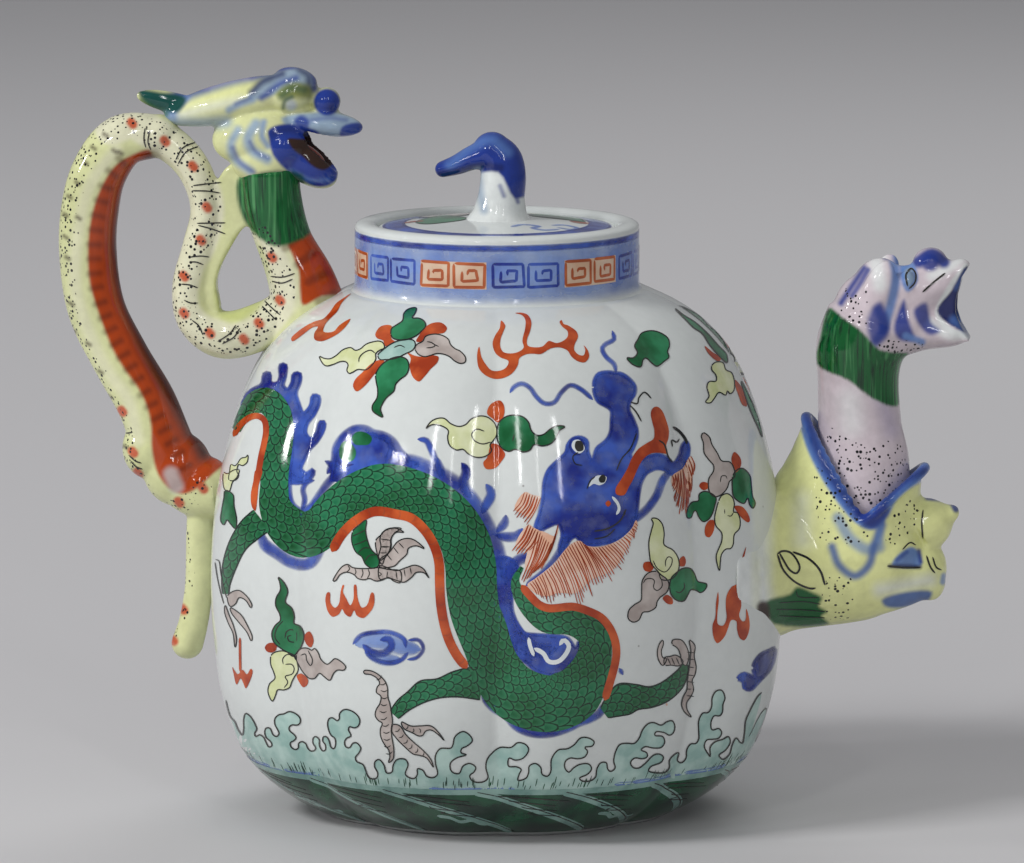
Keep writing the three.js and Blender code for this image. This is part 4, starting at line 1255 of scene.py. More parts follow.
NECK_GREEN = [
    829, 308, 843, 318, 860, 330, 880, 350, 912, 356, 906, 385, 897, 406, 874, 399, 848, 380,
    817, 364, 820, 338,
]  # fmt: skip
neck_washes = [
    ("white", 22, 12, 0.5, 850, 400, 852, 425), ("lilac", 14, 10, 0.35, 880, 390, 892, 430),
    ("dots", 0, 4, 0.85, 828, 428, 868, 448, 888, 440, 912, 458, 884, 506, 850, 500),
    ("dots", 0, 3, 0.7, 838, 292, 865, 292, 866, 325, 848, 320),
    ("dots", 0, 3, 0.7, 878, 342, 925, 344, 922, 356, 890, 356),
    ("white", 14, 6, 0.8, 876, 262, 880, 285), ("white", 10, 5, 0.8, 932, 276, 948, 268, 962, 258),
    ("white", 9, 4, 0.8, 930, 322, 950, 336, 968, 334),
    ("cobalt", 6, 3, 0.9, 841, 303, 852, 286, 864, 268),
    ("cobalt", 5, 2, 0.8, 852, 296, 860, 284, 868, 270),
    ("sky", 9, 3, 0.9, 892, 254, 896, 275, 892, 300, 884, 328),
    ("cobalt", 10, 4, 0.9, 878, 310, 884, 328, 876, 342),
    ("cobalt", 0, 4, 0.85, 868, 318, 880, 302, 888, 318, 886, 338, 872, 342),
    ("cobalt", 0, 3, 0.95, 904, 300, 908, 318, 914, 340, 900, 340, 894, 330, 898, 312),
    ("cobalt", 0, 3, 0.9, 914, 310, 926, 303, 931, 322, 940, 331, 930, 335, 919, 325),
    ("cobalt", 7, 3, 0.9, 886, 256, 896, 253, 904, 262, 906, 274),
    ("sky", 7, 2.5, 0.9, 922, 342, 906, 336),
    ("cobalt", 12, 3, 0.95, 918, 262, 932, 254, 944, 262),
    ("cobalt", 18, 3, 0.9, 930, 262),
    ("sky", 9, 3, 0.9, 893, 253, 902, 262, 906, 275),
    ("sky", 0, 2, 0.9, 902, 266, 912, 262, 918, 280, 908, 292, 902, 284),
    ("mist", 0, 1.5, 0.95, 905, 270, 911, 268, 914, 280, 908, 286),
    ("white", 6, 2, 0.9, 966, 266, 950, 288, 938, 314, 950, 330, 968, 336),
    ("ink", 0, 1.5, 1, 967, 266, 952, 290, 937, 311, 952, 326, 972, 332, 975, 300),
    ("steel", 9, 4, 0.9, 954, 320, 966, 328, 974, 334), ("steel", 5, 3, 0.6, 966, 272, 956, 288),
    *[(mark, 0, 2, 1, *NECK_GREEN) for mark in ("green", "comb")],
]  # fmt: skip
paint_clay(upper_mesh, "pink", neck_washes)

knob_washes = [
    ("cobalt", 0, 2, 1, 430, 180, 436, 150, 470, 126, 505, 128, 524, 150, 530, 192, 515, 198, 498,
     172, 470, 176, 450, 182),
    ("sky", 10, 5, 0.55, 450, 165, 470, 148, 492, 140, 508, 152),
    ("ink", 8, 3, 0.7, 440, 174, 462, 172, 482, 166, 500, 168),
    ("cobalt", 4, 2, 0.7, 512, 186, 518, 202), ("cobalt", 4, 2, 0.6, 500, 186, 504, 196),
    ("mist", 8, 4, 0.7, 478, 172, 480, 192, 484, 210),
]  # fmt: skip
paint_clay(knob_mesh, "white", knob_washes)
print("spout washes", len(root_washes) + len(neck_washes), "knob washes", len(knob_washes))

# %% Put the modelled clay in place
MODELLED = {
    # piece: (mesh, slot, body, the nodes it stands for)
    "lower_beast": (lower_mesh, "yellow_glaze", "pot", ["spout_root", "spout_nose", "spout_brow"]),
    "upper_beast": (
        upper_mesh, "pink_glaze", "pot",
        ["spout_neck", "spout_head", "spout_nostril", "spout_horn_left", "spout_horn_right"],
    ),
    "serpent": (
        serpent_mesh, "yellow_glaze", "pot",
        ["handle_neck", "handle_loop", "handle_web", "handle_arc", "handle_tail"],
    ),
    "serpent_head": (
        head_mesh, "yellow_glaze", "pot",
        ["handle_head", "handle_jaw", "handle_nose", "handle_brow", "handle_crest"],
    ),
    "tongue": (tongue_mesh, "red_enamel", "pot", ["handle_tongue"]),
    "knob": (knob_mesh, "underglaze_blue", "lid", ["lid_knob"]),
}  # fmt: skip
for name, (mesh, slot, carrier, nodes) in MODELLED.items():
    place_piece(name, mesh, washed_clay, body=carrier, replaces=nodes)
print("placed", list(MODELLED))

# %% [markdown]
# The picture on the body is drawn stroke by stroke. A stroke is a thin ribbon of enamel with a
# width that swells and tapers as a loaded brush leaves it, and a filled shape is a patch of
# enamel. Both are drawn flat, in the photograph's pixels, and then thrown along the camera's rays
# until they lie on the clay, about a tenth of a millimetre above it, each kind of enamel at a
# level of its own. The far side of the pot gets the same picture by mirrored rays, so a dragon
# faces the spout on either side.


# %% Brushes
LEVELS = {
    # ink: how far it stands out from the clay, in millimetres
    "celadon": 0.05, "wash": 0.05, "blue": 0.055, "deep": 0.06, "sea": 0.07, "cream": 0.07,
    "leg": 0.085, "scales": 0.09, "lemon": 0.085, "lavender": 0.085, "leafgreen": 0.095,
    "foam": 0.095, "brown": 0.1, "ochre": 0.1, "white": 0.1, "flame": 0.105, "rust": 0.12,
    "line": 0.13,
}  # fmt: skip
INK_LIFT = MM
CELL = 4.5
STROKE_STEP, FINEST_STEP, STEP_SHARE = 3.0, 1.3, 0.6
TAPER, THINNEST, FADE_POWER = 3.0, 0.02, 1.6
LONGEST_EDGE = 10 * MM
MIDDLE_SLACK = 0.2 * MM
sheets = {}
ribbons = {}


def surface_of(mesh):
    faces = [tuple(face.vertices) for face in mesh.polygons]
    return BVHTree.FromPolygons([tuple(v) for v in coords(mesh)], faces)


surfaces = {
    "body": surface_of(body_mesh), "serpent": surface_of(serpent_mesh),
    "lower": surface_of(lower_mesh), "upper": surface_of(upper_mesh),
}  # fmt: skip
LOOKS = {}  # how rays meet the bands, which go all the way round; the camera's rays meet the rest


def from_camera(pixel, side):
    """A ray through a pixel: where it starts and its way, mirrored for the far side."""
    mirror = (1, side, 1)
    return Vector(eye * mirror), Vector(sight(pixel) * mirror).normalized()


def sides_of(surface):
    return (1,) if surface in LOOKS else (1, -1)


def body_under(surface):
    return "lid" if surface == "lid_top" else "pot"


def thrown(pixels, surface, side, lift):
    """The places where rays through the pixels meet a surface, lifted off it, or None."""
    tree = surfaces[surface]
    look = LOOKS.get(surface, from_camera)
    landed = []
    for pixel in pixels:
        where, normal, _, _ = tree.ray_cast(*look(pixel, side))
        missed = where is None or (look is from_camera and where.y * side > MIDDLE_SLACK)
        landed.append(None if missed else where + normal * lift)
    return landed


def stroke_shape(points, width, across, closed, blunt, tip):
    """A ribbon's pixels, row by row, and how far along and across each of them lies."""
    step = min(STROKE_STEP, max(FINEST_STEP, STEP_SHARE * width))
    curve, at = even_steps(smooth_curve(points, 6, closed), step)
    if closed or blunt:
        swell = np.ones(len(at))
    else:
        ends = np.clip(np.minimum(at, at[-1] - at) / (tip * width + TAPER), 0, 1)
        swell = np.sqrt(np.clip(1 - (1 - ends) ** 2, THINNEST, 1))
    offsets = np.linspace(-0.5, 0.5, across)
    reach = offsets[None, :, None] * (width * swell)[:, None, None]
    return curve[:, None] + sideways(directions(curve))[:, None] * reach, at, offsets * width


def lay_ribbon(surface, ink, rows, at, off, fade, lift):
    """Throws a ribbon's rows on to a surface and keeps them for the ink's mesh."""
    for side in sides_of(surface):
        order = slice(None, None, side)
        landed = thrown(rows[:, order].reshape(-1, 2), surface, side, lift * INK_LIFT)
        chart = np.stack(np.broadcast_arrays(at[:, None], off[..., order]), axis=-1)
        strip = (landed, rows.shape[1], chart.reshape(-1, 2), np.tile(fade[order], len(rows)))
        ribbons.setdefault((body_under(surface), ink), []).append(strip)


def brush(ink, width, points, surface="body", across=3, closed=False, soft=False, blunt=False):
    """Adds a stroke on both sides of the pot."""
    rows, at, off = stroke_shape(points, width, across, closed, blunt, 1 if soft else 0.5)
    fade = np.ones(across)
    if soft:
        fade = np.sqrt(np.clip(1 - np.abs(np.linspace(-1, 1, across)) ** FADE_POWER, 0, 1))
    lay_ribbon(surface, ink, rows, at, off[None, :], fade, LEVELS[ink])


def patch(ink, outline, surface="body"):
    """Adds a filled shape on both sides of the pot."""
    points = smooth_curve(outline, 4, closed=True)
    clay = bmesh.new()
    verts = [clay.verts.new((u, -v, 0)) for u, v in points]
    edges = [clay.edges.new(pair) for pair in zip(verts, verts[1:] + verts[:1])]
    bmesh.ops.triangle_fill(clay, use_beauty=True, edges=edges)
    for axis in (0, 1):
        low, high = points[:, axis].min(), points[:, axis].max()
        for at in np.arange(math.ceil(low / CELL) * CELL, high, CELL):
            place, normal = [0, 0, 0], [0, 0, 0]
            place[axis], normal[axis] = at * (1 if axis == 0 else -1), 1
            whole = clay.verts[:] + clay.edges[:] + clay.faces[:]
            bmesh.ops.bisect_plane(clay, geom=whole, dist=1e-4, plane_co=place, plane_no=normal)
    clay.verts.index_update()
    flat = [(vert.co.x, -vert.co.y) for vert in clay.verts]
    faces = []
    for face in clay.faces:
        order = 1 if face.normal.z > 0 else -1
        faces.append([vert.index for vert in face.verts][::order])
    clay.free()
    for side in sides_of(surface):
        landed = thrown(flat, surface, side, LEVELS[ink] * INK_LIFT)
        turned = [face[::side] for face in faces]
        sheets.setdefault((body_under(surface), ink), []).append((landed, turned, flat))


print(len(LEVELS), "inks to go on", list(surfaces))

# %% [markdown]
# The picture itself follows. Each part of it was traced from an enlarged view of the photograph,
# so a table is written in the pixels of its own view: where the view's corner is, and how much it
# was enlarged. In a row, an ink comes first. A width of 0 fills the outline; a negative width
# fills it and draws round it; a positive one is an open stroke of that width.


# %% Reading a traced table
SOFT_INKS, SOFT_EDGE = ("blue", "deep", "wash"), 5


def from_view(view, numbers):
    return pairs(numbers) / view[2] + view[:2]


def traced(view, table, surface="body"):
    for ink, width, *numbers in table:
        points = from_view(view, numbers)
        soft = ink in SOFT_INKS
        if width > 0:
            brush(ink, width, points, surface, 7 if soft else 3, soft=soft)
            continue
        patch(ink, points, surface)
        if soft:
            brush(ink, SOFT_EDGE, points, surface, 5, closed=True, soft=True)
        if width < 0:
            brush("line", -width, points, surface, closed=True)
    print(len(table), "traced on the", surface)


def rib(ink, width, at, along, reach, bulge):
    """A short, bowed stroke across a line."""
    aside = sideways(along) * reach
    brush(ink, width, np.array([at - aside, at + along * bulge, at + aside]))


print("soft inks", SOFT_INKS)

# %% Upper left: arch, clouds and flames
VIEW_UPPER_LEFT = (210, 290, 8.253)
UPPER_LEFT = [
    ("flame", 0, 1165, 30, 1090, 105, 1050, 180, 985, 245, 950, 290, 938, 345, 1020, 345, 1070, 292,
     1160, 240, 1120, 305, 1060, 360, 1000, 395, 920, 425, 865, 410, 862, 360, 893, 305, 850, 310,
     780, 360, 720, 405, 680, 425, 672, 400, 720, 350, 790, 300, 870, 260, 935, 240, 990, 185, 1040,
     115, 1100, 70),
    ("flame", 0, 1365, 370, 1400, 310, 1460, 290, 1500, 300, 1492, 345, 1500, 405, 1530, 430, 1470,
     462, 1440, 460, 1430, 420, 1380, 400),
    ("flame", 0, 1182, 795, 1200, 740, 1260, 680, 1340, 605, 1400, 580, 1440, 590, 1400, 640, 1340,
     720, 1270, 800, 1210, 838),
    ("lemon", -1.2, 905, 550, 930, 605, 960, 628, 1020, 615, 1080, 592, 1125, 595, 1142, 620, 1132,
     665, 1150, 690, 1180, 680, 1220, 658, 1290, 660, 1340, 620, 1370, 570, 1368, 530, 1400, 500,
     1440, 480, 1430, 440, 1400, 425, 1350, 430, 1290, 450, 1240, 490, 1200, 500, 1165, 478, 1100,
     495, 1040, 545, 990, 570, 940, 565),
    ("line", 1.2, 1230, 600, 1235, 560, 1280, 515, 1330, 500, 1365, 525),
    ("flame", 6, 195, 1210, 240, 1130, 325, 1055, 395, 1040, 450, 1075, 465, 1160, 450, 1260, 425,
     1370, 392, 1568),
    ("lemon", -1, 160, 1568, 165, 1500, 178, 1440, 205, 1452, 225, 1440, 260, 1390, 300, 1380, 315,
     1360, 310, 1420, 270, 1450, 240, 1440, 225, 1500, 240, 1530, 215, 1568),
    ("blue", 0, 255, 930, 340, 830, 430, 775, 450, 690, 495, 690, 500, 765, 555, 770, 580, 720, 580,
     620, 625, 620, 620, 720, 605, 790, 642, 820, 680, 760, 690, 695, 742, 690, 745, 760, 712, 850,
     732, 930, 772, 1015, 830, 955, 850, 870, 900, 880, 900, 940, 860, 1030, 802, 1110, 790, 1180,
     832, 1228, 880, 1180, 910, 1090, 945, 1090, 940, 1150, 885, 1250, 820, 1320, 780, 1400, 752,
     1480, 800, 1512, 850, 1480, 860, 1510, 800, 1580, 650, 1580, 672, 1400, 680, 1250, 680, 1100,
     640, 970, 580, 880, 520, 830, 440, 820, 340, 900, 270, 1010),
]  # fmt: skip
traced(VIEW_UPPER_LEFT, UPPER_LEFT)

# %% Upper middle: flame, pair of clouds, whisker
VIEW_UPPER_MIDDLE = (380, 290, 7.467)
UPPER_MIDDLE = [
    ("leafgreen", -1.3, 82, 330, 88, 290, 130, 260, 170, 230, 178, 180, 212, 145, 272, 137, 260,
     180, 240, 210, 290, 213, 330, 235, 342, 270, 310, 310, 260, 350, 200, 372, 140, 375, 95, 360),
    ("flame", 0, 270, 385, 300, 330, 350, 270, 400, 247, 460, 247, 500, 285, 480, 320, 420, 330,
     360, 342, 300, 390),
    ("flame", 0, 205, 470, 260, 492, 320, 500, 380, 490, 437, 500, 430, 540, 380, 590, 330, 650,
     290, 685, 245, 650, 222, 570, 230, 510),
    ("lavender", -1.2, 262, 440, 275, 410, 320, 385, 340, 350, 400, 332, 460, 340, 510, 370, 527,
     410, 560, 440, 600, 460, 638, 505, 635, 540, 600, 550, 555, 530, 520, 500, 470, 480, 420, 477,
     380, 490, 330, 500, 285, 480),
    ("line", 1.1, 345, 435, 390, 430, 412, 418, 385, 395, 350, 388),
    ("line", 1.1, 395, 405, 440, 425),
    ("celadon", -1.2, -15, 488, 20, 452, 60, 420, 120, 388, 200, 371, 253, 380, 264, 415, 245, 450,
     190, 478, 120, 512, 40, 522, 0, 520),
    ("line", 1, 105, 432, 150, 415, 188, 432),
    ("leafgreen", -1.3, -30, 632, 0, 575, 45, 535, 100, 508, 150, 500, 200, 520, 217, 570, 200, 630,
     150, 670, 118, 705, 105, 755, 50, 805, 20, 850, 5, 892, 22, 950, -22, 930, -52, 905, -56, 868,
     -20, 805, -16, 742, -26, 690),
    ("flame", 0, 740, 425, 757, 500, 792, 560, 830, 600, 880, 606, 930, 590, 955, 560, 958, 530,
     900, 505, 860, 470, 840, 400, 860, 340, 893, 290, 905, 230, 935, 268, 922, 310, 900, 370, 900,
     430, 922, 465, 990, 475, 1050, 455, 1073, 430, 1063, 380, 1083, 290, 1085, 225, 1060, 190,
     1010, 175, 1060, 172, 1105, 190, 1130, 240, 1120, 310, 1096, 380, 1105, 418, 1160, 430, 1215,
     422, 1260, 382, 1290, 390, 1320, 398, 1370, 380, 1400, 350, 1400, 310, 1360, 275, 1340, 240,
     1355, 227, 1370, 255, 1400, 265, 1465, 310, 1478, 350, 1452, 410, 1450, 450, 1480, 483, 1518,
     490, 1532, 450, 1520, 415, 1550, 450, 1560, 500, 1530, 540, 1480, 535, 1430, 500, 1400, 455,
     1340, 430, 1270, 440, 1200, 480, 1140, 477, 1090, 482, 1040, 512, 1030, 560, 990, 620, 930,
     655, 860, 665, 790, 640, 740, 590, 725, 520, 728, 460),
    ("blue", 6, 970, 770, 1000, 725, 1060, 700, 1120, 732, 1170, 800, 1230, 848, 1300, 840, 1350,
     770, 1420, 712, 1500, 742, 1590, 820),
    ("flame", 0, 800, 900, 830, 850, 895, 825, 925, 860, 925, 940, 880, 990, 840, 960, 802, 930),
    ("flame", 0, 830, 1150, 870, 1150, 910, 1185, 935, 1230, 900, 1290, 860, 1330, 790, 1335, 770,
     1290, 800, 1250),
    ("lemon", -1.3, 345, 1035, 380, 985, 430, 960, 480, 960, 530, 1000, 590, 1020, 640, 1005, 680,
     965, 740, 942, 800, 950, 850, 990, 872, 1040, 868, 1090, 840, 1130, 820, 1160, 832, 1200, 790,
     1240, 720, 1250, 660, 1225, 620, 1190, 570, 1195, 520, 1160, 505, 1100, 510, 1050, 460, 1015,
     400, 1005, 370, 1015),
    ("line", 1.2, 780, 1055, 720, 1040, 685, 1075, 700, 1120, 760, 1150, 830, 1135),
    ("leafgreen", -1.4, 875, 1040, 890, 990, 940, 947, 1010, 935, 1070, 950, 1110, 990, 1130, 1050,
     1170, 1085, 1220, 1080, 1270, 1040, 1320, 1015, 1380, 1022, 1340, 1050, 1312, 1110, 1270, 1150,
     1210, 1165, 1150, 1155, 1120, 1195, 1070, 1210, 1010, 1190, 960, 1205, 910, 1180, 877, 1120),
    ("line", 1.2, 990, 1130, 1002, 1078),
    ("blue", 8, -10, 1090, 50, 1110, 85, 1180, 60, 1260, 20, 1330),
    ("blue", 8, 280, 1115, 345, 1125, 385, 1200, 430, 1310, 470, 1420),
    ("blue", 8, 605, 1290, 650, 1340, 655, 1420),
]  # fmt: skip
traced(VIEW_UPPER_MIDDLE, UPPER_MIDDLE)

# %% Middle left: legs, claws and flames
VIEW_MIDDLE_LEFT = (200, 470, 7.84)
MIDDLE_LEFT = [
    ("flame", 0, 440, 0, 490, 0, 462, 120, 452, 220, 435, 320, 410, 290, 400, 200, 420, 90),
    ("leafgreen", -1.1, 200, 160, 260, 190, 270, 280, 290, 390, 280, 460, 240, 420, 215, 390, 190,
     430, 165, 400, 175, 300, 190, 220),
    ("lemon", -1, 190, 20, 215, 30, 270, 0, 310, 0, 290, 60, 260, 90, 230, 168, 195, 150),
    ("flame", 0, 985, 1010, 1000, 960, 1020, 960, 1025, 1040, 1060, 1080, 1090, 1050, 1105, 950,
     1122, 900, 1132, 905, 1122, 950, 1150, 1010, 1180, 1060, 1205, 1010, 1210, 900, 1225, 900,
     1237, 1000, 1270, 1078, 1310, 1060, 1345, 960, 1362, 965, 1365, 1060, 1320, 1130, 1280, 1160,
     1230, 1140, 1210, 1100, 1180, 1150, 1140, 1130, 1115, 1090, 1090, 1130, 1040, 1150, 1005, 1110,
     990, 1060),
    ("leafgreen", -1.3, 615, 840, 660, 880, 690, 950, 672, 1035, 720, 1080, 742, 1150, 738, 1200,
     790, 1225, 817, 1290, 802, 1370, 762, 1430, 730, 1460, 690, 1430, 640, 1400, 582, 1350, 565,
     1280, 590, 1220, 632, 1178, 627, 1130, 595, 1060, 600, 1000, 632, 940, 627, 880),
    ("line", 1.2, 668, 1320, 680, 1268, 720, 1250, 762, 1285, 750, 1345, 700, 1340, 690, 1305, 720,
     1295),
    ("line", 1.1, 655, 1180, 605, 1240, 590, 1310, 630, 1370),
    ("flame", 0, 510, 1392, 530, 1362, 580, 1355, 605, 1380, 590, 1412, 545, 1430, 520, 1415),
    ("flame", 0, 820, 1320, 830, 1282, 860, 1265, 885, 1300, 892, 1350, 870, 1390, 840, 1370),
    ("blue", 14, 480, 490, 505, 580, 600, 650, 700, 715, 790, 742, 860, 730, 912, 670, 935, 590,
     925, 515),
    ("blue", 8, 1045, 490, 1015, 560, 960, 640),
    ("blue", 10, 700, -20, 690, 150, 715, 270, 790, 325, 870, 292, 940, 195, 1010, 95, 1090, 25,
     1180, -20),
    ("blue", 7, 690, 20, 760, 75, 840, 62, 880, 0),
    ("blue", 7, 800, 320, 822, 230, 808, 150, 840, 95, 900, 80),
    ("leafgreen", -1.1, 1200, 480, 1240, 440, 1305, 392, 1300, 470, 1312, 540, 1342, 620, 1400, 680,
     1412, 722, 1390, 760, 1350, 770, 1300, 740, 1270, 680, 1230, 650, 1202, 600, 1190, 540),
    ("line", 1, 1195, 520, 1240, 500, 1300, 470), ("line", 1, 1205, 590, 1260, 570, 1318, 545),
    ("line", 1, 1240, 650, 1290, 610, 1340, 615), ("line", 1, 1290, 720, 1330, 670, 1385, 665),
    ("lavender", -1.2, 1045, 870, 1075, 810, 1120, 755, 1160, 740, 1200, 765, 1330, 772, 1400, 765,
     1480, 780, 1572, 792, 1572, 882, 1520, 870, 1480, 842, 1430, 862, 1380, 870, 1330, 850, 1290,
     860, 1240, 850, 1210, 820, 1150, 800, 1100, 820, 1065, 868),
    ("line", 1, 1160, 745, 1175, 775, 1150, 800), ("line", 1, 1215, 770, 1225, 800, 1212, 825),
    ("line", 1, 1270, 772, 1280, 810, 1262, 850), ("line", 1, 1320, 775, 1330, 815, 1312, 850),
    ("line", 1, 1400, 800, 1425, 815, 1400, 835),
    ("lavender", -1.2, 1400, 690, 1420, 600, 1412, 540, 1432, 490, 1480, 462, 1540, 452, 1580, 460,
     1530, 490, 1500, 540, 1500, 600, 1480, 650, 1450, 690, 1430, 740),
    ("line", 1, 1415, 540, 1490, 550), ("line", 1, 1418, 600, 1490, 602),
    ("line", 1, 1412, 650, 1470, 650),
    ("line", 1.1, 122, 700, 150, 712, 165, 800, 190, 930, 215, 1010),
    ("line", 1.1, 120, 722, 140, 850, 165, 960, 190, 1050),
    ("lavender", -1.1, 220, 985, 300, 942, 370, 990, 410, 1060, 402, 1080, 360, 1020, 310, 1000,
     280, 1050, 240, 1070),
    ("lavender", -1.1, 240, 1080, 320, 1130, 370, 1210, 412, 1310, 405, 1340, 370, 1270, 300, 1185,
     250, 1120),
    ("lavender", -1.1, 200, 1060, 232, 1140, 265, 1220, 290, 1330, 277, 1390, 262, 1280, 225, 1200,
     195, 1110),
]  # fmt: skip
traced(VIEW_MIDDLE_LEFT, MIDDLE_LEFT)

# %% Middle: claws, ridge and belly of the great arch
VIEW_MIDDLE = (380, 460, 7.467)
MIDDLE = [
    ("lavender", -1.2, -30, 600, 8, 560, 45, 520, 110, 508, 180, 540, 120, 540, 82, 590, 80, 640,
     60, 700, 0, 750, -20, 700),
    ("lavender", -1.2, 0, 745, 70, 690, 130, 612, 180, 588, 240, 590, 300, 628, 332, 662, 270, 640,
     212, 660, 202, 700, 150, 750, 110, 790, 60, 802, 0, 800),
    ("lavender", -1.2, 0, 790, 120, 826, 200, 802, 260, 785, 320, 808, 350, 850, 366, 882, 330, 842,
     270, 840, 240, 872, 180, 912, 130, 900, 60, 880, 0, 890),
    ("line", 1, 0, 650, 70, 650), ("line", 1, 20, 590, 78, 600), ("line", 1, 100, 650, 140, 700),
    ("line", 1, 140, 615, 180, 660), ("line", 1, 50, 700, 90, 750), ("line", 1, 60, 830, 50, 880),
    ("line", 1, 120, 830, 130, 895), ("line", 1, 180, 812, 190, 870),
    ("line", 1, 225, 800, 235, 850),
    ("blue", 20, 60, 10, 240, 25, 400, 90, 560, 180, 680, 305, 780, 470, 850, 620, 890, 780, 905,
     950, 915, 1100, 945, 1230, 1000, 1330, 1070, 1440, 1130, 1520),
    ("blue", 12, 425, -20, 440, 50, 480, 120),
    ("blue", 12, 610, 30, 640, 85, 625, 160, 640, 230, 680, 280),
    ("blue", 12, 790, 180, 830, 250, 790, 340, 760, 400),
    ("blue", 12, 940, 410, 930, 470, 870, 540),
    ("blue", 12, 1065, 510, 1020, 565, 950, 575, 860, 560),
    ("blue", 13, 1155, 715, 1050, 740, 980, 800, 960, 860, 930, 930),
]  # fmt: skip
traced(VIEW_MIDDLE, MIDDLE)

# %% [markdown]
# The dragon's body is one long ribbon. It carries how far along and across each point lies, and
# the green enamel turns that into rows of fish scales, each with a dark rim.

# %% Dragon's body
DRAGON = [
    # x, y, half width
    (236, 430, 5), (245, 413.6, 7), (256, 402.7, 11.5), (267, 401, 13.3), (277.9, 412.4, 13),
    (281.2, 429.3, 12.5), (279.1, 447.5, 13.5), (275.4, 465.7, 14.3), (274.6, 482.8, 14),
    (275.3, 505.7, 16), (286.7, 524.8, 21), (303.3, 534.7, 23), (321.2, 527.4, 21.5),
    (335.2, 509.5, 19.5), (353, 494.2, 19), (380, 485.4, 21.4), (402.8, 488.8, 22.3),
    (428.2, 500.2, 23.5), (449.6, 517.6, 24.5), (464.4, 540.4, 25), (470.4, 564.5, 25.5),
    (471.7, 588.6, 25.5), (475.1, 611.3, 25), (483.1, 632.8, 25), (489, 650, 24),
    (496.5, 669.5, 25.4), (512.6, 690.9, 28.1), (534, 701.6, 28.8), (555.4, 702.9, 28.1),
    (574.2, 693.6, 27.5), (587, 676, 22), (594, 657, 17.5), (595, 643, 16), (590, 632, 15),
    (580, 625, 14), (567.5, 622, 12.5), (547.4, 621, 12), (531.3, 610, 9.4), (519.3, 593.9, 6.7),
    (515.3, 580.5, 4), (522, 567, 2),
]  # fmt: skip
LEGS = [
    [(262, 520, 13), (250, 530, 12), (238, 545, 9), (230, 565, 7), (226, 585, 4), (226, 594, 3)],
    [(394.1, 715, 5.6), (402.8, 705.6, 7.4), (412.1, 698.9, 8.3), (424.2, 690.9, 10.7), (438.9,
     688.2, 9.6), (455, 684.2, 12.7), (471.1, 682.9, 15.4), (482, 684, 16)],
    [(604, 713, 6), (612, 707, 11), (624, 699, 16), (637, 697, 12.5), (650.4, 697, 10.4), (664, 692,
     9.6), (677, 681, 8), (683.8, 669.5, 4.5), (685, 664, 3)],
]  # fmt: skip
BELLY = [
    332, 551.6, 341.6, 535, 355.6, 521, 374.7, 511.5, 396.1, 514.2, 411, 518, 424.2, 529.6,
    433.6, 544.4, 438.9, 561.8, 439.6, 580.5, 440.3, 597.9, 442.9, 618, 448.3, 638.1, 457, 655.5,
    467, 668,
]  # fmt: skip
LEG_SINK, LEG_EDGE = 0.012, 1.5
SCALE_SLICES = 13
BELLY_WIDTH, BELLY_RINGS = 9.5, 17
RING_SPAN, RING_WIDTH, RING_REACH, RING_BULGE = 4, 1.2, 4.4, 1.6


def scaly(rows, sink=0.0):
    """A ribbon of scales through rows of x, y and half width."""
    curve, at = even_steps(smooth_curve(rows, 6), STROKE_STEP)
    middle, offsets = curve[:, :2], np.linspace(-1, 1, SCALE_SLICES)
    off = offsets * curve[:, 2:]
    flat = middle[:, None] + sideways(directions(middle))[:, None] * off[:, :, None]
    lay_ribbon("body", "scales", flat, at, off, np.abs(offsets), LEVELS["scales"] - sink)


for leg in LEGS:
    scaly(leg, LEG_SINK)
    middle, half = np.split(np.array(leg, float), [2], axis=1)
    aside = sideways(np.gradient(middle, axis=0))
    aside *= half / np.linalg.norm(aside, axis=1)[:, None]
    for side in (-1, 1):
        brush("leg", LEG_EDGE, middle + side * aside)
scaly(DRAGON)
brush("flame", BELLY_WIDTH, pairs(BELLY), across=5)
belly, _ = even_steps(smooth_curve(pairs(BELLY), 6), 1.0)
for at in np.linspace(8, len(belly) - 10, BELLY_RINGS).astype(int):
    along = (belly[at + RING_SPAN] - belly[at]) / RING_SPAN
    rib("rust", RING_WIDTH, belly[at], along, RING_REACH, RING_BULGE)
print("dragon", len(DRAGON), "rows,", len(LEGS), "legs")

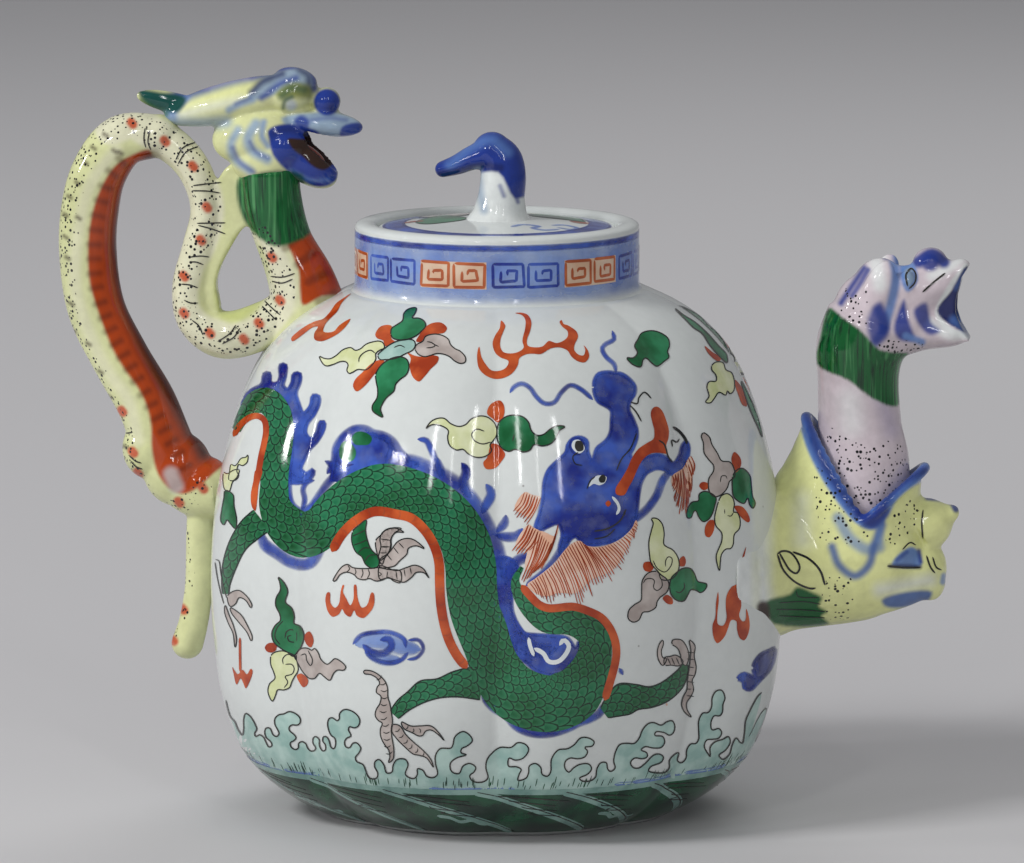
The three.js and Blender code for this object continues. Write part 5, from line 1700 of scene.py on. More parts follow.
# %% Middle right: fringes of the mane, clouds and flames
VIEW_MIDDLE_RIGHT = (560, 460, 7.127)
MIDDLE_RIGHT = [
    ("leafgreen", -1.2, 1230, 110, 1260, 70, 1300, 60, 1350, 110, 1362, 190, 1370, 260, 1390, 310,
     1372, 345, 1350, 320, 1335, 270, 1310, 310, 1270, 295, 1235, 260, 1225, 190),
    ("flame", 0, 1225, 0, 1285, 0, 1280, 60, 1245, 90, 1232, 50),
    ("flame", 0, 990, 185, 1010, 158, 1050, 165, 1055, 200, 1020, 215),
    ("leafgreen", -1.2, 1060, 230, 1020, 225, 990, 245, 985, 290, 940, 300, 915, 330, 900, 380, 905,
     412, 930, 412, 950, 370, 965, 360, 990, 410, 1020, 440, 1060, 420, 1085, 380, 1100, 330, 1110,
     270),
    ("lemon", -1.2, 1130, 290, 1150, 255, 1190, 240, 1225, 265, 1240, 310, 1235, 370, 1260, 375,
     1280, 420, 1275, 490, 1240, 530, 1232, 600, 1215, 630, 1180, 635, 1150, 670, 1140, 730, 1135,
     790, 1118, 740, 1112, 680, 1130, 630, 1150, 580, 1150, 520, 1110, 470, 1100, 420, 1112, 350),
    ("line", 1, 1170, 350, 1172, 385), ("line", 1, 1190, 395, 1215, 400, 1235, 372),
    ("flame", 0, 1240, 330, 1290, 330, 1330, 370, 1352, 430, 1340, 445, 1300, 420, 1260, 370),
    ("flame", 0, 1030, 520, 1035, 470, 1065, 430, 1095, 430, 1095, 500, 1065, 550, 1040, 545),
    ("lemon", -1.2, 650, 418, 690, 418, 725, 455, 740, 520, 738, 600, 760, 620, 800, 640, 840, 700,
     845, 770, 815, 830, 770, 855, 720, 850, 700, 800, 650, 740, 635, 660, 632, 580, 650, 500, 662,
     450),
    ("line", 1, 750, 760, 750, 720, 770, 690, 795, 700, 790, 750, 745, 798, 690, 770, 660, 715),
    ("flame", 0, 590, 760, 600, 730, 650, 728, 665, 770, 640, 795, 605, 790),
    ("flame", 0, 850, 755, 855, 700, 880, 685, 895, 715, 885, 755),
    ("flame", 0, 730, 985, 760, 960, 800, 990, 800, 1025, 765, 1025),
    ("lavender", -1.2, 690, 795, 720, 820, 760, 850, 775, 890, 760, 940, 710, 980, 690, 1010, 680,
     1050, 630, 1080, 590, 1085, 560, 1140, 520, 1155, 485, 1130, 490, 1070, 530, 1030, 575, 1000,
     580, 930, 585, 860, 620, 810, 655, 795),
    ("line", 1, 590, 880, 610, 850, 650, 845, 670, 860, 665, 910, 690, 930, 725, 900, 722, 850),
    ("leafgreen", -1.2, 780, 900, 790, 840, 830, 800, 880, 770, 930, 775, 960, 820, 980, 865, 1020,
     875, 1045, 885, 1035, 920, 1000, 945, 970, 930, 930, 925, 910, 960, 880, 1005, 830, 1000, 790,
     960),
    ("line", 1, 880, 870, 885, 910, 850, 945, 820, 935),
    ("flame", 0, 1325, 620, 1310, 700, 1300, 800, 1300, 880, 1285, 940, 1290, 1040, 1275, 1110,
     1300, 1150, 1320, 1140, 1325, 1060, 1340, 1100, 1350, 1180, 1335, 1250, 1310, 1285, 1280, 1270,
     1260, 1210, 1255, 1150, 1220, 1140, 1195, 1200, 1170, 1260, 1120, 1305, 1095, 1270, 1085, 1180,
     1105, 1120, 1110, 1020, 1125, 940, 1130, 1000, 1120, 1100, 1125, 1170, 1160, 1180, 1185, 1130,
     1180, 1050, 1185, 970, 1220, 905, 1260, 880, 1275, 800, 1300, 680),
    ("line", 1, 1140, 160, 1150, 115, 1180, 115, 1188, 135),
]  # fmt: skip
traced(VIEW_MIDDLE_RIGHT, MIDDLE_RIGHT)

# %% Upper right: the clouds over the head and at the spout
VIEW_UPPER_RIGHT = (560, 290, 7.127)
UPPER_RIGHT = [
    ("blue", 6, 370, 290, 385, 350, 320, 390, 300, 420, 330, 480, 385, 530, 400, 590),
    ("leafgreen", -1.2, 475, 485, 520, 485, 550, 450, 530, 400, 555, 350, 580, 310, 650, 292, 720,
     310, 770, 350, 778, 400, 765, 440, 775, 480, 740, 510, 690, 545, 650, 520, 610, 485, 590, 500,
     575, 548, 530, 540, 490, 510),
    ("leafgreen", -1.2, 820, 135, 880, 180, 960, 230, 1050, 310, 1130, 400, 1185, 460, 1190, 520,
     1150, 490, 1070, 400, 1010, 310, 950, 270, 900, 220),
    ("flame", 0, 1030, 400, 1080, 440, 1145, 490, 1130, 510, 1080, 480, 1040, 430),
    ("lemon", -1.2, 1080, 540, 1110, 515, 1160, 520, 1180, 570, 1220, 590, 1240, 650, 1235, 720,
     1210, 740, 1190, 720, 1180, 750, 1130, 730, 1100, 770, 1070, 805, 1035, 800, 1060, 760, 1045,
     690, 1060, 655, 1110, 650, 1110, 610, 1080, 570),
    ("flame", 0, 1245, 640, 1290, 690, 1310, 750, 1330, 830, 1300, 820, 1270, 750, 1250, 690),
    ("leafgreen", -1.2, 1290, 650, 1340, 740, 1380, 830, 1420, 930, 1440, 1050, 1410, 980, 1360,
     870, 1320, 760),
    ("lavender", -1.2, 1020, 1018, 1062, 1048, 1080, 1100, 1120, 1165, 1150, 1218, 1210, 1228, 1238,
     1275, 1242, 1330, 1205, 1365, 1190, 1410, 1150, 1457, 1100, 1474, 1065, 1442, 1055, 1392, 1060,
     1342, 1092, 1290, 1092, 1250, 1060, 1212, 1025, 1160, 1020, 1090, 1005, 1042),
    ("flame", 0, 1220, 1200, 1240, 1155, 1280, 1190, 1290, 1240, 1270, 1280, 1245, 1270, 1225,
     1235),
]  # fmt: skip
traced(VIEW_UPPER_RIGHT, UPPER_RIGHT)

# %% [markdown]
# The dragon's head is a blue wash with an open red mouth, a branching mane and two eyes. Black
# lines give it its wrinkles. Fringes of hair hang from the mane and from the elbows: an orange
# ground with many fine red strokes across it, so one function draws a fringe between two lines.

# %% Dragon's head
HEAD = [
    ("blue", 0, 240, 690, 245, 640, 270, 600, 330, 585, 390, 590, 440, 598, 500, 640, 535, 690, 532,
     740, 500, 790, 488, 850, 520, 920, 546, 990, 548, 1050, 520, 1130, 500, 1180, 560, 1230, 600,
     1195, 650, 1180, 700, 1172, 760, 1195, 810, 1235, 850, 1180, 872, 1105, 900, 1080, 918, 1120,
     910, 1190, 880, 1265, 840, 1310, 790, 1312, 740, 1280, 690, 1272, 640, 1292, 610, 1312, 575,
     1382, 558, 1472, 550, 1562, 540, 1612, 510, 1692, 450, 1757, 370, 1797, 280, 1814, 200, 1817,
     150, 1802, 115, 1757, 80, 1772, 40, 1832, 0, 1882, -4, 1822, 15, 1746, -14, 1665, -90, 1689,
     -147, 1718, -176, 1699, -147, 1593, -123, 1479, -113, 1364, -80, 1279, -14, 1212, 43, 1155, 53,
     1107, 91, 1060, 149, 1050, 192, 1076, 200, 1160, 230, 1210, 260, 1130, 330, 1070, 360, 1010,
     365, 930, 365, 860, 330, 830, 270, 795, 245, 740),
    ("blue", 10, 792, 1280, 730, 1360, 690, 1460, 620, 1560, 500, 1660),
    ("flame", 0, 645, 880, 660, 842, 690, 832, 725, 860, 755, 930, 774, 1000, 770, 1060, 755, 1110,
     765, 1165, 700, 1160, 640, 1168, 585, 1215, 545, 1290, 520, 1350, 490, 1402, 455, 1462, 400,
     1456, 395, 1416, 440, 1341, 480, 1270, 510, 1200, 555, 1135, 620, 1090, 665, 1060, 670, 1000,
     655, 940),
    ("line", 1.5, 500, 800, 550, 810, 560, 770, 600, 730, 650, 775),
    ("line", 1.5, 495, 820, 540, 870, 580, 940),
    ("line", 3, 800, 975, 850, 1010, 890, 1060, 905, 1100),
    ("line", 1.6, 700, 1070, 740, 1100, 770, 1190, 800, 1230),
    ("line", 1.6, 800, 1120, 795, 1070, 830, 1085, 850, 1060),
    ("line", 1.2, 130, 1155, 90, 1190, 110, 1240, 160, 1250),
    ("white", 0, 175, 1135, 165, 1100, 135, 1068, 95, 1075, 82, 1112, 105, 1150, 140, 1165),
    ("deep", 2.5, 180, 1135, 165, 1085, 130, 1055, 85, 1065, 70, 1115, 100, 1165, 150, 1175),
    ("line", 0, 165, 1140, 155, 1080, 115, 1078, 105, 1120, 125, 1150),
    ("white", 0, 205, 1402, 235, 1342, 270, 1322, 330, 1332, 320, 1372, 280, 1392, 240, 1382),
    ("line", 0, 275, 1345, 305, 1315, 325, 1335, 315, 1370, 285, 1372),
    ("white", 3, 370, 1472, 410, 1522, 420, 1562, 400, 1602),
    ("flame", 0, 322, 1520, 345, 1500, 362, 1522, 340, 1545),
    ("line", 1.3, 250, 1330, 215, 1360, 190, 1420),
    ("line", 1.5, 470, 1560, 430, 1640, 340, 1700, 240, 1720),
    ("line", 1.2, 395, 1700, 330, 1755, 240, 1775),
    ("line", 1.3, 545, 1020, 500, 1130, 440, 1200, 400, 1290),
]  # fmt: skip
traced(VIEW_UPPER_RIGHT, HEAD)
HAIRS = [
    # view, hairs, roots, then tips
    (VIEW_MIDDLE, 13, [1080, 240, 1200, 280], [985, 400, 1100, 470]),
    (VIEW_MIDDLE, 13, [1110, 480, 1200, 540], [985, 680, 1100, 700]),
    (VIEW_MIDDLE, 20, [1180, 530, 1290, 620, 1330, 480], [1060, 890, 1110, 870, 1230, 780]),
    (VIEW_MIDDLE, 55, [1100, 930, 1300, 770, 1400, 650, 1480, 600, 1568, 650, 1742, 618, 1868, 524,
     1910, 450], [1160, 1000, 1250, 1060, 1400, 1030, 1501, 1058, 1595, 974, 1721, 901, 1794, 817,
     1878, 629, 1925, 480]),
    (VIEW_MIDDLE_RIGHT, 29, [800, 110, 840, 90, 880, 50, 900, 0, 930, -30], [790, 180, 825, 330,
     855, 395, 915, 310, 955, 60]),
]  # fmt: skip


GROUND_SHARE, GROUND_THINNING = 0.8, 3
RAGGED, HAIR_WIDTHS, HAIR_BEND = (-0.16, 0.1), (0.8, 1.2), (6, 20)
random.seed(3)


def picked(line, count):
    return line[np.linspace(0, len(line) - 1, count).round().astype(int)]


def fringe(view, hairs, roots, tips):
    """A pale ground between two lines, and ragged hairs across it."""
    corner, scale = np.array(view[:2]), view[2]
    rooted, tipped = (
        even_steps(smooth_curve(pairs(line), 6), STROKE_STEP * scale)[0] for line in (roots, tips)
    )
    few = [picked(line, max(3, len(line) // GROUND_THINNING)) for line in (rooted, tipped)]
    near, far = (picked(line, min(len(line) for line in few)) for line in few)
    ground = np.concatenate([near, (near + GROUND_SHARE * (far - near))[::-1]])
    patch("ochre", ground / scale + corner)
    for share in np.linspace(0.02, 0.98, hairs):
        root, tip = (line[round(share * (len(line) - 1))] for line in (rooted, tipped))
        tip = tip + (tip - root) * random.uniform(*RAGGED)
        middle = (root + tip) / 2 + (random.uniform(*HAIR_BEND), HAIR_BEND[0])
        hair = np.array([root, middle, tip]) / scale + corner
        brush("rust", random.uniform(*HAIR_WIDTHS), hair)


for row in HAIRS:
    fringe(*row)
print("fringes", len(HAIRS))

# %% Lower middle: coil, claws and swirl
VIEW_LOWER_MIDDLE = (380, 640, 7.467)
LOWER_MIDDLE = [
    ("blue", 0, 980, 0, 1030, 100, 1100, 180, 1200, 245, 1310, 260, 1420, 220, 1480, 130, 1490, 0,
     1460, 56, 1400, -14, 1250, -34, 1110, -44, 1020, -60),
    ("white", 4, 1110, -20, 1120, 40, 1150, 120),
    ("white", 4.5, 1150, 60, 1220, 100, 1260, 160, 1330, 160, 1390, 100, 1410, 40, 1370, 0, 1340,
     40),
    ("blue", 10, 780, 360, 790, 440, 850, 510, 940, 560, 1010, 640, 1110, 690, 1250, 700, 1400, 660,
     1480, 620, 1560, 590, 1640, 545, 1675, 470),
    ("blue", 9, 1785, 210, 1815, 260),
    ("flame", 8, 1056, -410, 1110, -344, 1190, -264, 1260, -238, 1400, -249, 1449, -249, 1554, -217,
     1648, -170, 1711, -97, 1752, -3, 1764, 90, 1755, 170, 1730, 270, 1700, 370, 1678, 450),
    ("lavender", -1.2, 160, 610, 230, 640, 300, 640, 380, 640, 430, 680, 480, 750, 430, 700, 380,
     670, 340, 680, 320, 710, 290, 715, 240, 690, 180, 660),
    ("lavender", -1.2, 100, 630, 150, 640, 190, 700, 250, 760, 330, 830, 380, 890, 400, 950, 350,
     880, 300, 860, 250, 850, 190, 800, 130, 740, 90, 680),
]  # fmt: skip
traced(VIEW_LOWER_MIDDLE, LOWER_MIDDLE)

# %% Lower left and right: spear, clouds, claws
VIEW_LOWER_LEFT, VIEW_LOWER_RIGHT = (200, 640, 7.84), (570, 640, 7.467)
LOWER_LEFT = [
    ("flame", 2.6, 315, -20, 316, 100, 318, 250),
    ("flame", 0, 255, 210, 275, 240, 300, 268, 335, 232, 370, 268, 400, 225, 415, 240, 385, 340,
     360, 378, 343, 340, 320, 300, 290, 350, 265, 260),
    ("lemon", -1.2, 560, 120, 590, 95, 650, 85, 700, 100, 740, 120, 765, 180, 770, 240, 740, 290,
     720, 330, 705, 370, 660, 390, 610, 390, 595, 430, 570, 478, 545, 440, 535, 390, 550, 340, 590,
     300, 580, 250, 557, 190),
    ("line", 1.1, 655, 190, 650, 150, 680, 115, 730, 120, 755, 160),
    ("line", 1.1, 670, 190, 720, 190, 740, 220, 725, 265, 670, 285, 690, 330, 660, 375),
    ("flame", 0, 510, 60, 545, 22, 590, 40, 600, 75, 555, 98),
    ("flame", 0, 760, 280, 795, 262, 850, 310, 842, 352, 812, 370, 780, 330),
    ("lavender", -1.2, 760, 110, 800, 65, 850, 65, 880, 80, 900, 65, 930, 100, 950, 150, 1000, 190,
     1030, 170, 1060, 145, 1110, 170, 1145, 210, 1130, 235, 1080, 235, 1050, 260, 1020, 315, 980,
     290, 940, 260, 900, 300, 860, 300, 810, 250, 780, 200, 760, 160),
    ("line", 1.1, 790, 120, 830, 110, 840, 160, 870, 200, 885, 160, 850, 80),
    ("lavender", -1.2, 1285, 240, 1340, 240, 1400, 270, 1450, 320, 1470, 370, 1475, 450, 1490, 500,
     1500, 560, 1510, 640, 1500, 700, 1505, 760, 1520, 850, 1515, 930, 1480, 960, 1490, 910, 1480,
     860, 1450, 820, 1420, 760, 1415, 700, 1430, 650, 1400, 630, 1375, 590, 1385, 540, 1410, 500,
     1420, 440, 1385, 410, 1390, 370, 1410, 340, 1390, 300, 1340, 270, 1290, 262),
]  # fmt: skip
LOWER_RIGHT = [
    ("lavender", -1.1, 690, 0, 665, 30, 650, 90, 660, 150, 690, 190, 720, 140, 690, 130, 680, 80,
     695, 30),
    ("lavender", -1.1, 705, 185, 705, 130, 745, 122, 785, 112, 820, 130, 842, 165, 812, 192, 755,
     187),
    ("lavender", -1.1, 760, 30, 765, 0, 830, 0, 872, 60, 885, 130, 862, 190, 832, 165, 822, 110,
     800, 60),
    ("lavender", -1.2, 890, 0, 930, 40, 925, 120, 940, 200, 930, 260, 910, 300, 920, 370, 900, 420,
     868, 470, 872, 520, 905, 575, 860, 545, 832, 490, 840, 430, 870, 370, 875, 300, 885, 220, 895,
     140, 900, 80),
    *[("line", 1, 868, y, 925, y + 6) for y in (90, 140, 200, 260, 310, 365, 415)],
    *[("line", 1, x, 130, x + 25, 185) for x in (725, 755, 790)],
    ("ochre", 2.5, 718, 470, 722, 492),
    ("deep", 0, 1365, 200, 1420, 110, 1480, 80, 1530, 60, 1510, 180, 1450, 270, 1400, 290),
    ("blue", 0, 1250, 290, 1290, 250, 1340, 262, 1400, 290, 1440, 275, 1400, 320, 1350, 370, 1300,
     360, 1290, 310),
]  # fmt: skip
traced(VIEW_LOWER_LEFT, LOWER_LEFT)
traced(VIEW_LOWER_RIGHT, LOWER_RIGHT)
VIEW_ARCH = (220, 340, 5.227)
HUMP = [
    ("blue", 0, 1440, 1150, 1510, 1140, 1560, 1200, 1530, 1300, 1530, 1420, 1580, 1520, 1660, 1590,
     1760, 1600, 1700, 1650, 1560, 1620, 1450, 1480, 1430, 1300),
    ("blue", 11, 560, 700, 600, 640, 612, 560, 650, 505, 700, 470, 760, 468, 800, 490, 850, 500,
     900, 530, 940, 590, 1000, 640),
    ("blue", 0, 590, 740, 600, 640, 640, 560, 700, 500, 780, 490, 860, 520, 900, 560, 950, 620,
     1040, 650, 950, 680, 800, 690),
    ("leafgreen", 0, 628, 560, 650, 530, 690, 545, 712, 585, 700, 625, 660, 640, 628, 615),
    ("leafgreen", 0, 690, 510, 720, 480, 770, 488, 795, 515, 780, 545, 745, 550, 705, 545),
    ("blue", 8, 600, 690, 580, 650, 548, 632), ("deep", 3, 610, 620, 640, 655, 700, 650),
]  # fmt: skip
traced(VIEW_ARCH, HUMP)
VIEW_HEAD = (480, 320, 5.225)
MANE_STRAND = [("blue", 10, 470, 1120, 425, 1200, 380, 1270, 320, 1335, 240, 1388)]
traced(VIEW_HEAD, MANE_STRAND)
VIEW_FOOT_LEFT = (200, 600, 4.611)
BLUE_CLOUD = [
    ("wash", 20, 715, 205, 800, 185, 880, 200, 950, 220, 1018, 228),
    ("wash", 15, 760, 240, 850, 272, 930, 278),
    ("blue", 6, 705, 205, 740, 165, 800, 150, 880, 150, 940, 180, 950, 220),
    ("blue", 9, 750, 205, 790, 240, 850, 245, 885, 210, 870, 180, 830, 185),
    ("blue", 6, 760, 230, 800, 270, 870, 290, 930, 275, 960, 240),
    ("blue", 5, 960, 185, 1010, 185, 1030, 225, 1000, 265, 955, 275),
]  # fmt: skip
traced(VIEW_FOOT_LEFT, BLUE_CLOUD)
TOES = [
    # reach to each side, then places along the toe's middle
    (3.6, 820, 350, 845, 385, 850, 430, 848, 480, 845, 530, 858, 580, 862, 630, 866, 680, 878, 720),
    (3, 905, 590, 935, 635, 970, 675, 1010, 700, 1045, 722),
    (2.6, 945, 580, 985, 603, 1020, 600, 1045, 588),
]  # fmt: skip
KNUCKLE_STEP, KNUCKLE_BULGE = 7, 1.5
for reach, *numbers in TOES:
    toe, _ = even_steps(smooth_curve(from_view(VIEW_FOOT_LEFT, numbers), 5), 1.0)
    for at in range(2, len(toe) - 3, KNUCKLE_STEP):
        rib("line", 1, toe[at], toe[at + 1] - toe[at], reach, KNUCKLE_BULGE)

# %% Black lines on the beasts
VIEW_SPOUT = (740, 230, 3.823)
BEAST_LINES = [
    ("line", 2, 140, 1240, 160, 1228, 195, 1235, 228, 1290, 215, 1312, 190, 1300, 165, 1262, 150,
     1235),
    ("line", 2, 142, 1240, 165, 1300, 210, 1345, 270, 1370, 290, 1368),
    ("line", 2.2, 200, 1230, 260, 1255, 305, 1300, 325, 1358),
    ("line", 2, 562, 1284, 620, 1290, 690, 1290), ("line", 1.6, 700, 1070, 695, 1120, 700, 1180),
    ("line", 1.8, 712, 1245, 728, 1290, 745, 1312), ("line", 1.6, 735, 1250, 750, 1290, 770, 1300),
    ("line", 1.4, 620, 1222, 650, 1195, 672, 1205),
]  # fmt: skip
GREEN_LINES = [
    ("leg", 1, 150, 1425, 240, 1420, 310, 1430), ("leg", 1, 140, 1450, 250, 1452, 325, 1458),
    ("leg", 1, 150, 1475, 240, 1478, 325, 1482), ("leg", 1, 215, 1380, 222, 1400, 300, 1405),
]  # fmt: skip
UPPER_LINES = [
    ("line", 1.8, 697, 238, 740, 200, 785, 165),
    ("line", 1.6, 640, 215, 635, 170, 655, 148, 670, 165, 668, 200, 645, 225),
]  # fmt: skip
COIL_LINES = [
    (145, 128, 144, 139.6, 146, 147.8), (150, 130, 148, 142, 151, 150),
    (175.7, 160, 182.9, 147.8, 198.2, 141.6), (178, 164, 186, 152, 200, 146),
    (193, 185.5, 206, 184, 221.6, 182.4), (192, 190.6, 206, 191, 220.6, 193),
    (197, 223.3, 211, 223, 225.7, 222.7), (198.2, 225.3, 212, 229, 225.7, 233.9),
    (190, 257, 200, 256, 209.4, 257), (189, 262, 196, 262, 203.3, 264.7),
    (181, 284, 190, 285, 198, 288), (217.6, 341.6, 229.8, 333.5, 236, 325),
    (222, 344, 234, 337, 240, 328), (264.5, 300.8, 272, 308, 280.8, 315),
    (262, 306, 269, 313, 276, 320), (270.6, 276.3, 283, 277, 295, 273.3),
    (272, 281, 282, 283, 293, 279), (192, 320, 199, 326, 203, 335), (184, 300, 191, 303, 198, 303),
    (129, 455, 136, 461, 142, 463), (131, 461, 137, 467, 143, 469), (120, 431, 127, 433, 133, 432),
]  # fmt: skip
for stroke in COIL_LINES:
    brush("line", 1.3, pairs(stroke), "serpent")
traced(VIEW_SPOUT, BEAST_LINES + GREEN_LINES, "lower")
traced(VIEW_SPOUT, UPPER_LINES, "upper")

# %% [markdown]
# Foam curls up from the waves at the foot. It is one long patch of celadon: the traced edge of
# its curls on top, and the line that the waves start from below. Only the edge gets a black line.

# %% Foam
FOAM_LEFT = [
    205, 470, 215, 520, 240, 600, 275, 640, 300, 700, 335, 745, 345, 690, 345, 620, 360, 575, 390,
    590, 430, 650, 447, 700, 430, 730, 440, 755, 470, 742, 500, 760, 520, 800, 540, 835, 565, 830,
    560, 800, 520, 760, 510, 720, 520, 690, 550, 690, 575, 740, 600, 755, 622, 735, 610, 700, 590,
    660, 590, 615, 620, 585, 660, 578, 700, 560, 750, 575, 785, 610, 785, 650, 765, 665, 720, 665,
    700, 685, 705, 710, 740, 740, 755, 765, 740, 785, 710, 805, 715, 835, 750, 857, 772, 845, 775,
    810, 800, 795, 830, 810, 845, 845, 870, 868, 900, 865, 910, 845, 890, 810, 888, 775, 905, 755,
    935, 775, 940, 830, 965, 868, 985, 862, 985, 820, 965, 790, 970, 758, 995, 758, 1015, 790, 1030,
    840, 1052, 850, 1065, 820, 1060, 770, 1030, 745, 1010, 700, 1003, 650, 1015, 615, 1040, 608,
    1080, 632, 1095, 615, 1095, 580, 1120, 550, 1150, 543, 1200, 560, 1240, 595, 1255, 635, 1240,
    675, 1210, 687, 1175, 678, 1165, 700, 1185, 750, 1150, 770, 1135, 800, 1145, 835, 1175, 843,
    1200, 808, 1230, 805, 1262, 845, 1250, 880, 1220, 920, 1230, 950, 1280, 975, 1300, 1020, 1320,
    1070, 1360, 1088, 1390, 1075, 1395, 1040, 1370, 990, 1375, 950, 1405, 935,
]  # fmt: skip
FOAM_MIDDLE = [
    30, 930, 50, 990, 90, 985, 100, 930, 130, 890, 190, 890, 210, 930, 190, 1000, 230, 1030, 260,
    1030, 280, 1000, 280, 960, 320, 970, 350, 1015, 400, 1025, 430, 1000, 415, 920, 415, 860, 450,
    810, 530, 805, 545, 780, 560, 720, 620, 682, 670, 710, 690, 750, 650, 790, 610, 810, 605, 840,
    645, 855, 570, 880, 525, 920, 535, 980, 590, 995, 620, 940, 670, 920, 715, 950, 700, 985, 670,
    1010, 690, 1050, 760, 1060, 805, 1030, 790, 950, 800, 890, 850, 830, 900, 800, 980, 800, 1030,
    765, 1090, 780, 1110, 820, 1070, 880, 1010, 895, 965, 880, 960, 940, 1020, 945, 1055, 965, 1040,
    1000, 1030, 1045, 1090, 1030, 1110, 990, 1115, 940, 1160, 920, 1200, 950, 1210, 1000, 1250,
    1015, 1275, 980, 1280, 890, 1330, 820, 1400, 810, 1450, 780, 1490, 735,
]  # fmt: skip
FOAM_RIGHT = [
    100, 725, 150, 735, 180, 760, 165, 790, 110, 800, 130, 830, 110, 870, 60, 885, 0, 880, -35, 905,
    -40, 950, -10, 985, 30, 950, 80, 925, 140, 925, 160, 960, 130, 1000, 70, 1030, 90, 1050, 150,
    1050, 190, 1020, 200, 960, 230, 915, 270, 915, 280, 960, 300, 980, 335, 955, 325, 900, 340, 830,
    370, 780, 420, 770, 480, 770, 515, 730, 540, 670, 580, 625, 620, 615, 680, 635, 720, 610, 760,
    602, 780, 640, 770, 690, 740, 710, 700, 690, 640, 685, 630, 710, 690, 720, 705, 760, 680, 800,
    620, 805, 560, 795, 530, 820, 570, 840, 575, 870, 540, 885, 480, 880, 450, 915, 470, 950, 510,
    955, 560, 920, 620, 860, 660, 850, 695, 870, 680, 910, 600, 945, 585, 975, 640, 990, 710, 985,
    740, 950, 740, 900, 770, 860, 810, 840, 800, 900, 830, 915, 865, 880, 870, 820, 900, 775, 940,
    770, 960, 735, 960, 690, 960, 600, 990, 545, 1030, 540, 1055, 500, 1060, 430, 1090, 380, 1130,
    375, 1155, 430, 1140, 480, 1135, 540, 1115, 565, 1075, 565, 1050, 620, 1060, 670, 1110, 660,
    1130, 690, 1110, 730, 1060, 740, 1020, 745, 1000, 790, 1030, 850, 1045, 870, 1045, 800, 1080,
    760, 1140, 740, 1180, 720, 1195, 760, 1160, 820, 1110, 860, 1140, 890, 1190, 850, 1210, 780,
    1240, 730, 1265, 760, 1285, 770, 1300, 700, 1310, 600, 1340, 530, 1400, 420, 1430, 390,
]  # fmt: skip
SEA_LEVEL = [
    738, 759, 717, 768.6, 697, 773.9, 664, 780.6, 644, 784, 621, 787.3, 590, 789, 534, 788, 494,
    791, 447, 790, 407, 791, 380, 790, 354, 787, 328, 783, 300, 777, 275, 769, 256, 761, 243, 750,
]  # fmt: skip


foam_views = (VIEW_LOWER_LEFT, VIEW_LOWER_MIDDLE, VIEW_LOWER_RIGHT)
foam_parts = zip(foam_views, (FOAM_LEFT, FOAM_MIDDLE, FOAM_RIGHT))
foam_edge = np.concatenate([from_view(view, numbers) for view, numbers in foam_parts])
FOAM_LINE = 1.4
patch("celadon", np.concatenate([foam_edge, pairs(SEA_LEVEL)]))
brush("line", FOAM_LINE, foam_edge)
print("foam", len(foam_edge), "points along its edge")

# %% [markdown]
# Bands run all the way round the pot: waves at the foot, a key fret on the collar and a ring on
# the lid. They can't be thrown from the camera. Their pixels are measured along a circle and up
# from the table instead, and each ray goes straight in towards the pot's axis, or straight down.

# %% Bands round the pot
PIXEL = 1 / PIXELS_PER_METRE
OUTSIDE, ABOVE = 0.2, 1
FOOT_TURN_RADIUS = 60 * MM


def inward(radius):
    def look(pixel, _side):
        turn = pixel[0] * PIXEL / radius
        away = Vector((math.cos(turn), math.sin(turn), 0))
        return away * OUTSIDE + Vector((0, 0, -pixel[1] * PIXEL)), -away

    return look


def downward(pixel, _side):
    return Vector((pixel[0] * PIXEL, -pixel[1] * PIXEL, ABOVE)), Vector((0, 0, -1))


def round_px(radius, degrees):
    return math.radians(degrees) * radius / PIXEL


def add_band_surface(name, mesh, look):
    surfaces[name] = surface_of(mesh)
    LOOKS[name] = look


add_band_surface("foot_band", body_mesh, inward(FOOT_TURN_RADIUS))
add_band_surface("collar_band", collar_mesh, inward(COLLAR_RADIUS))
add_band_surface("lid_top", lid_mesh, downward)


def hoop(ink, width, height, surface, radius, across=3, soft=False):
    """A line all the way round, at a height in metres."""
    whole = round_px(radius, 360)
    points = [(share * whole, -height / PIXEL) for share in np.linspace(0, 1, 97)]
    brush(ink, width, points, surface, across, soft=soft, blunt=True)


print("bands", list(LOOKS))

# %% Waves at the foot
WAVE_TOP, WAVE_FOOT = 13.6 * MM, 1.2 * MM
WAVES = 16
WAVE_LEAN, WAVE_JITTER, LEAN_SPAN = 122, 9, (0.9, 1.15)
RIM_END, RIM_BEND, RIM_LINE_SHIFT, RIM_FOAM, RIM_LINE = 0.98, 1.15, 4, 7, 1
WATER_LINES, WATER_REACH, WATER_LINE = (0.1, 0.2, 0.32, 0.45), (0.8, 1.05), 1.1
WATER_START, WATER_LEAN, WATER_BEND, WATER_DROPS = 14, 110, 0.6, (0.03, 0.12)
SPLASH_WIDTH = 4
SPLASH = [(52, 0.56), (66, 0.6), (76, 0.7), (90, 0.66), (100, 0.76), (116, 0.74)]
WASH_BAND, FOAM_BAND, WASH_RISE = 13, 6, 1.2 * MM
DASHES, DASH_LENGTHS, DASH_RISES, DASH_WIDTHS, DASH_BOW = 46, (20, 70), (0.7, 1.4), (4, 8), 1.5
TICKS, TICK_HEIGHTS, TICK_RISES, TICK_WIDTH = 420, (4, 11), (0.5, 1.8), 0.9
wave_depth = WAVE_TOP - WAVE_FOOT
sea_middle = (WAVE_TOP + WAVE_FOOT) / 2
random.seed(7)
hoop("sea", wave_depth / PIXEL, sea_middle, "foot_band", FOOT_TURN_RADIUS, across=25)
hoop("celadon", WASH_BAND, WAVE_TOP + WASH_RISE, "foot_band", FOOT_TURN_RADIUS)
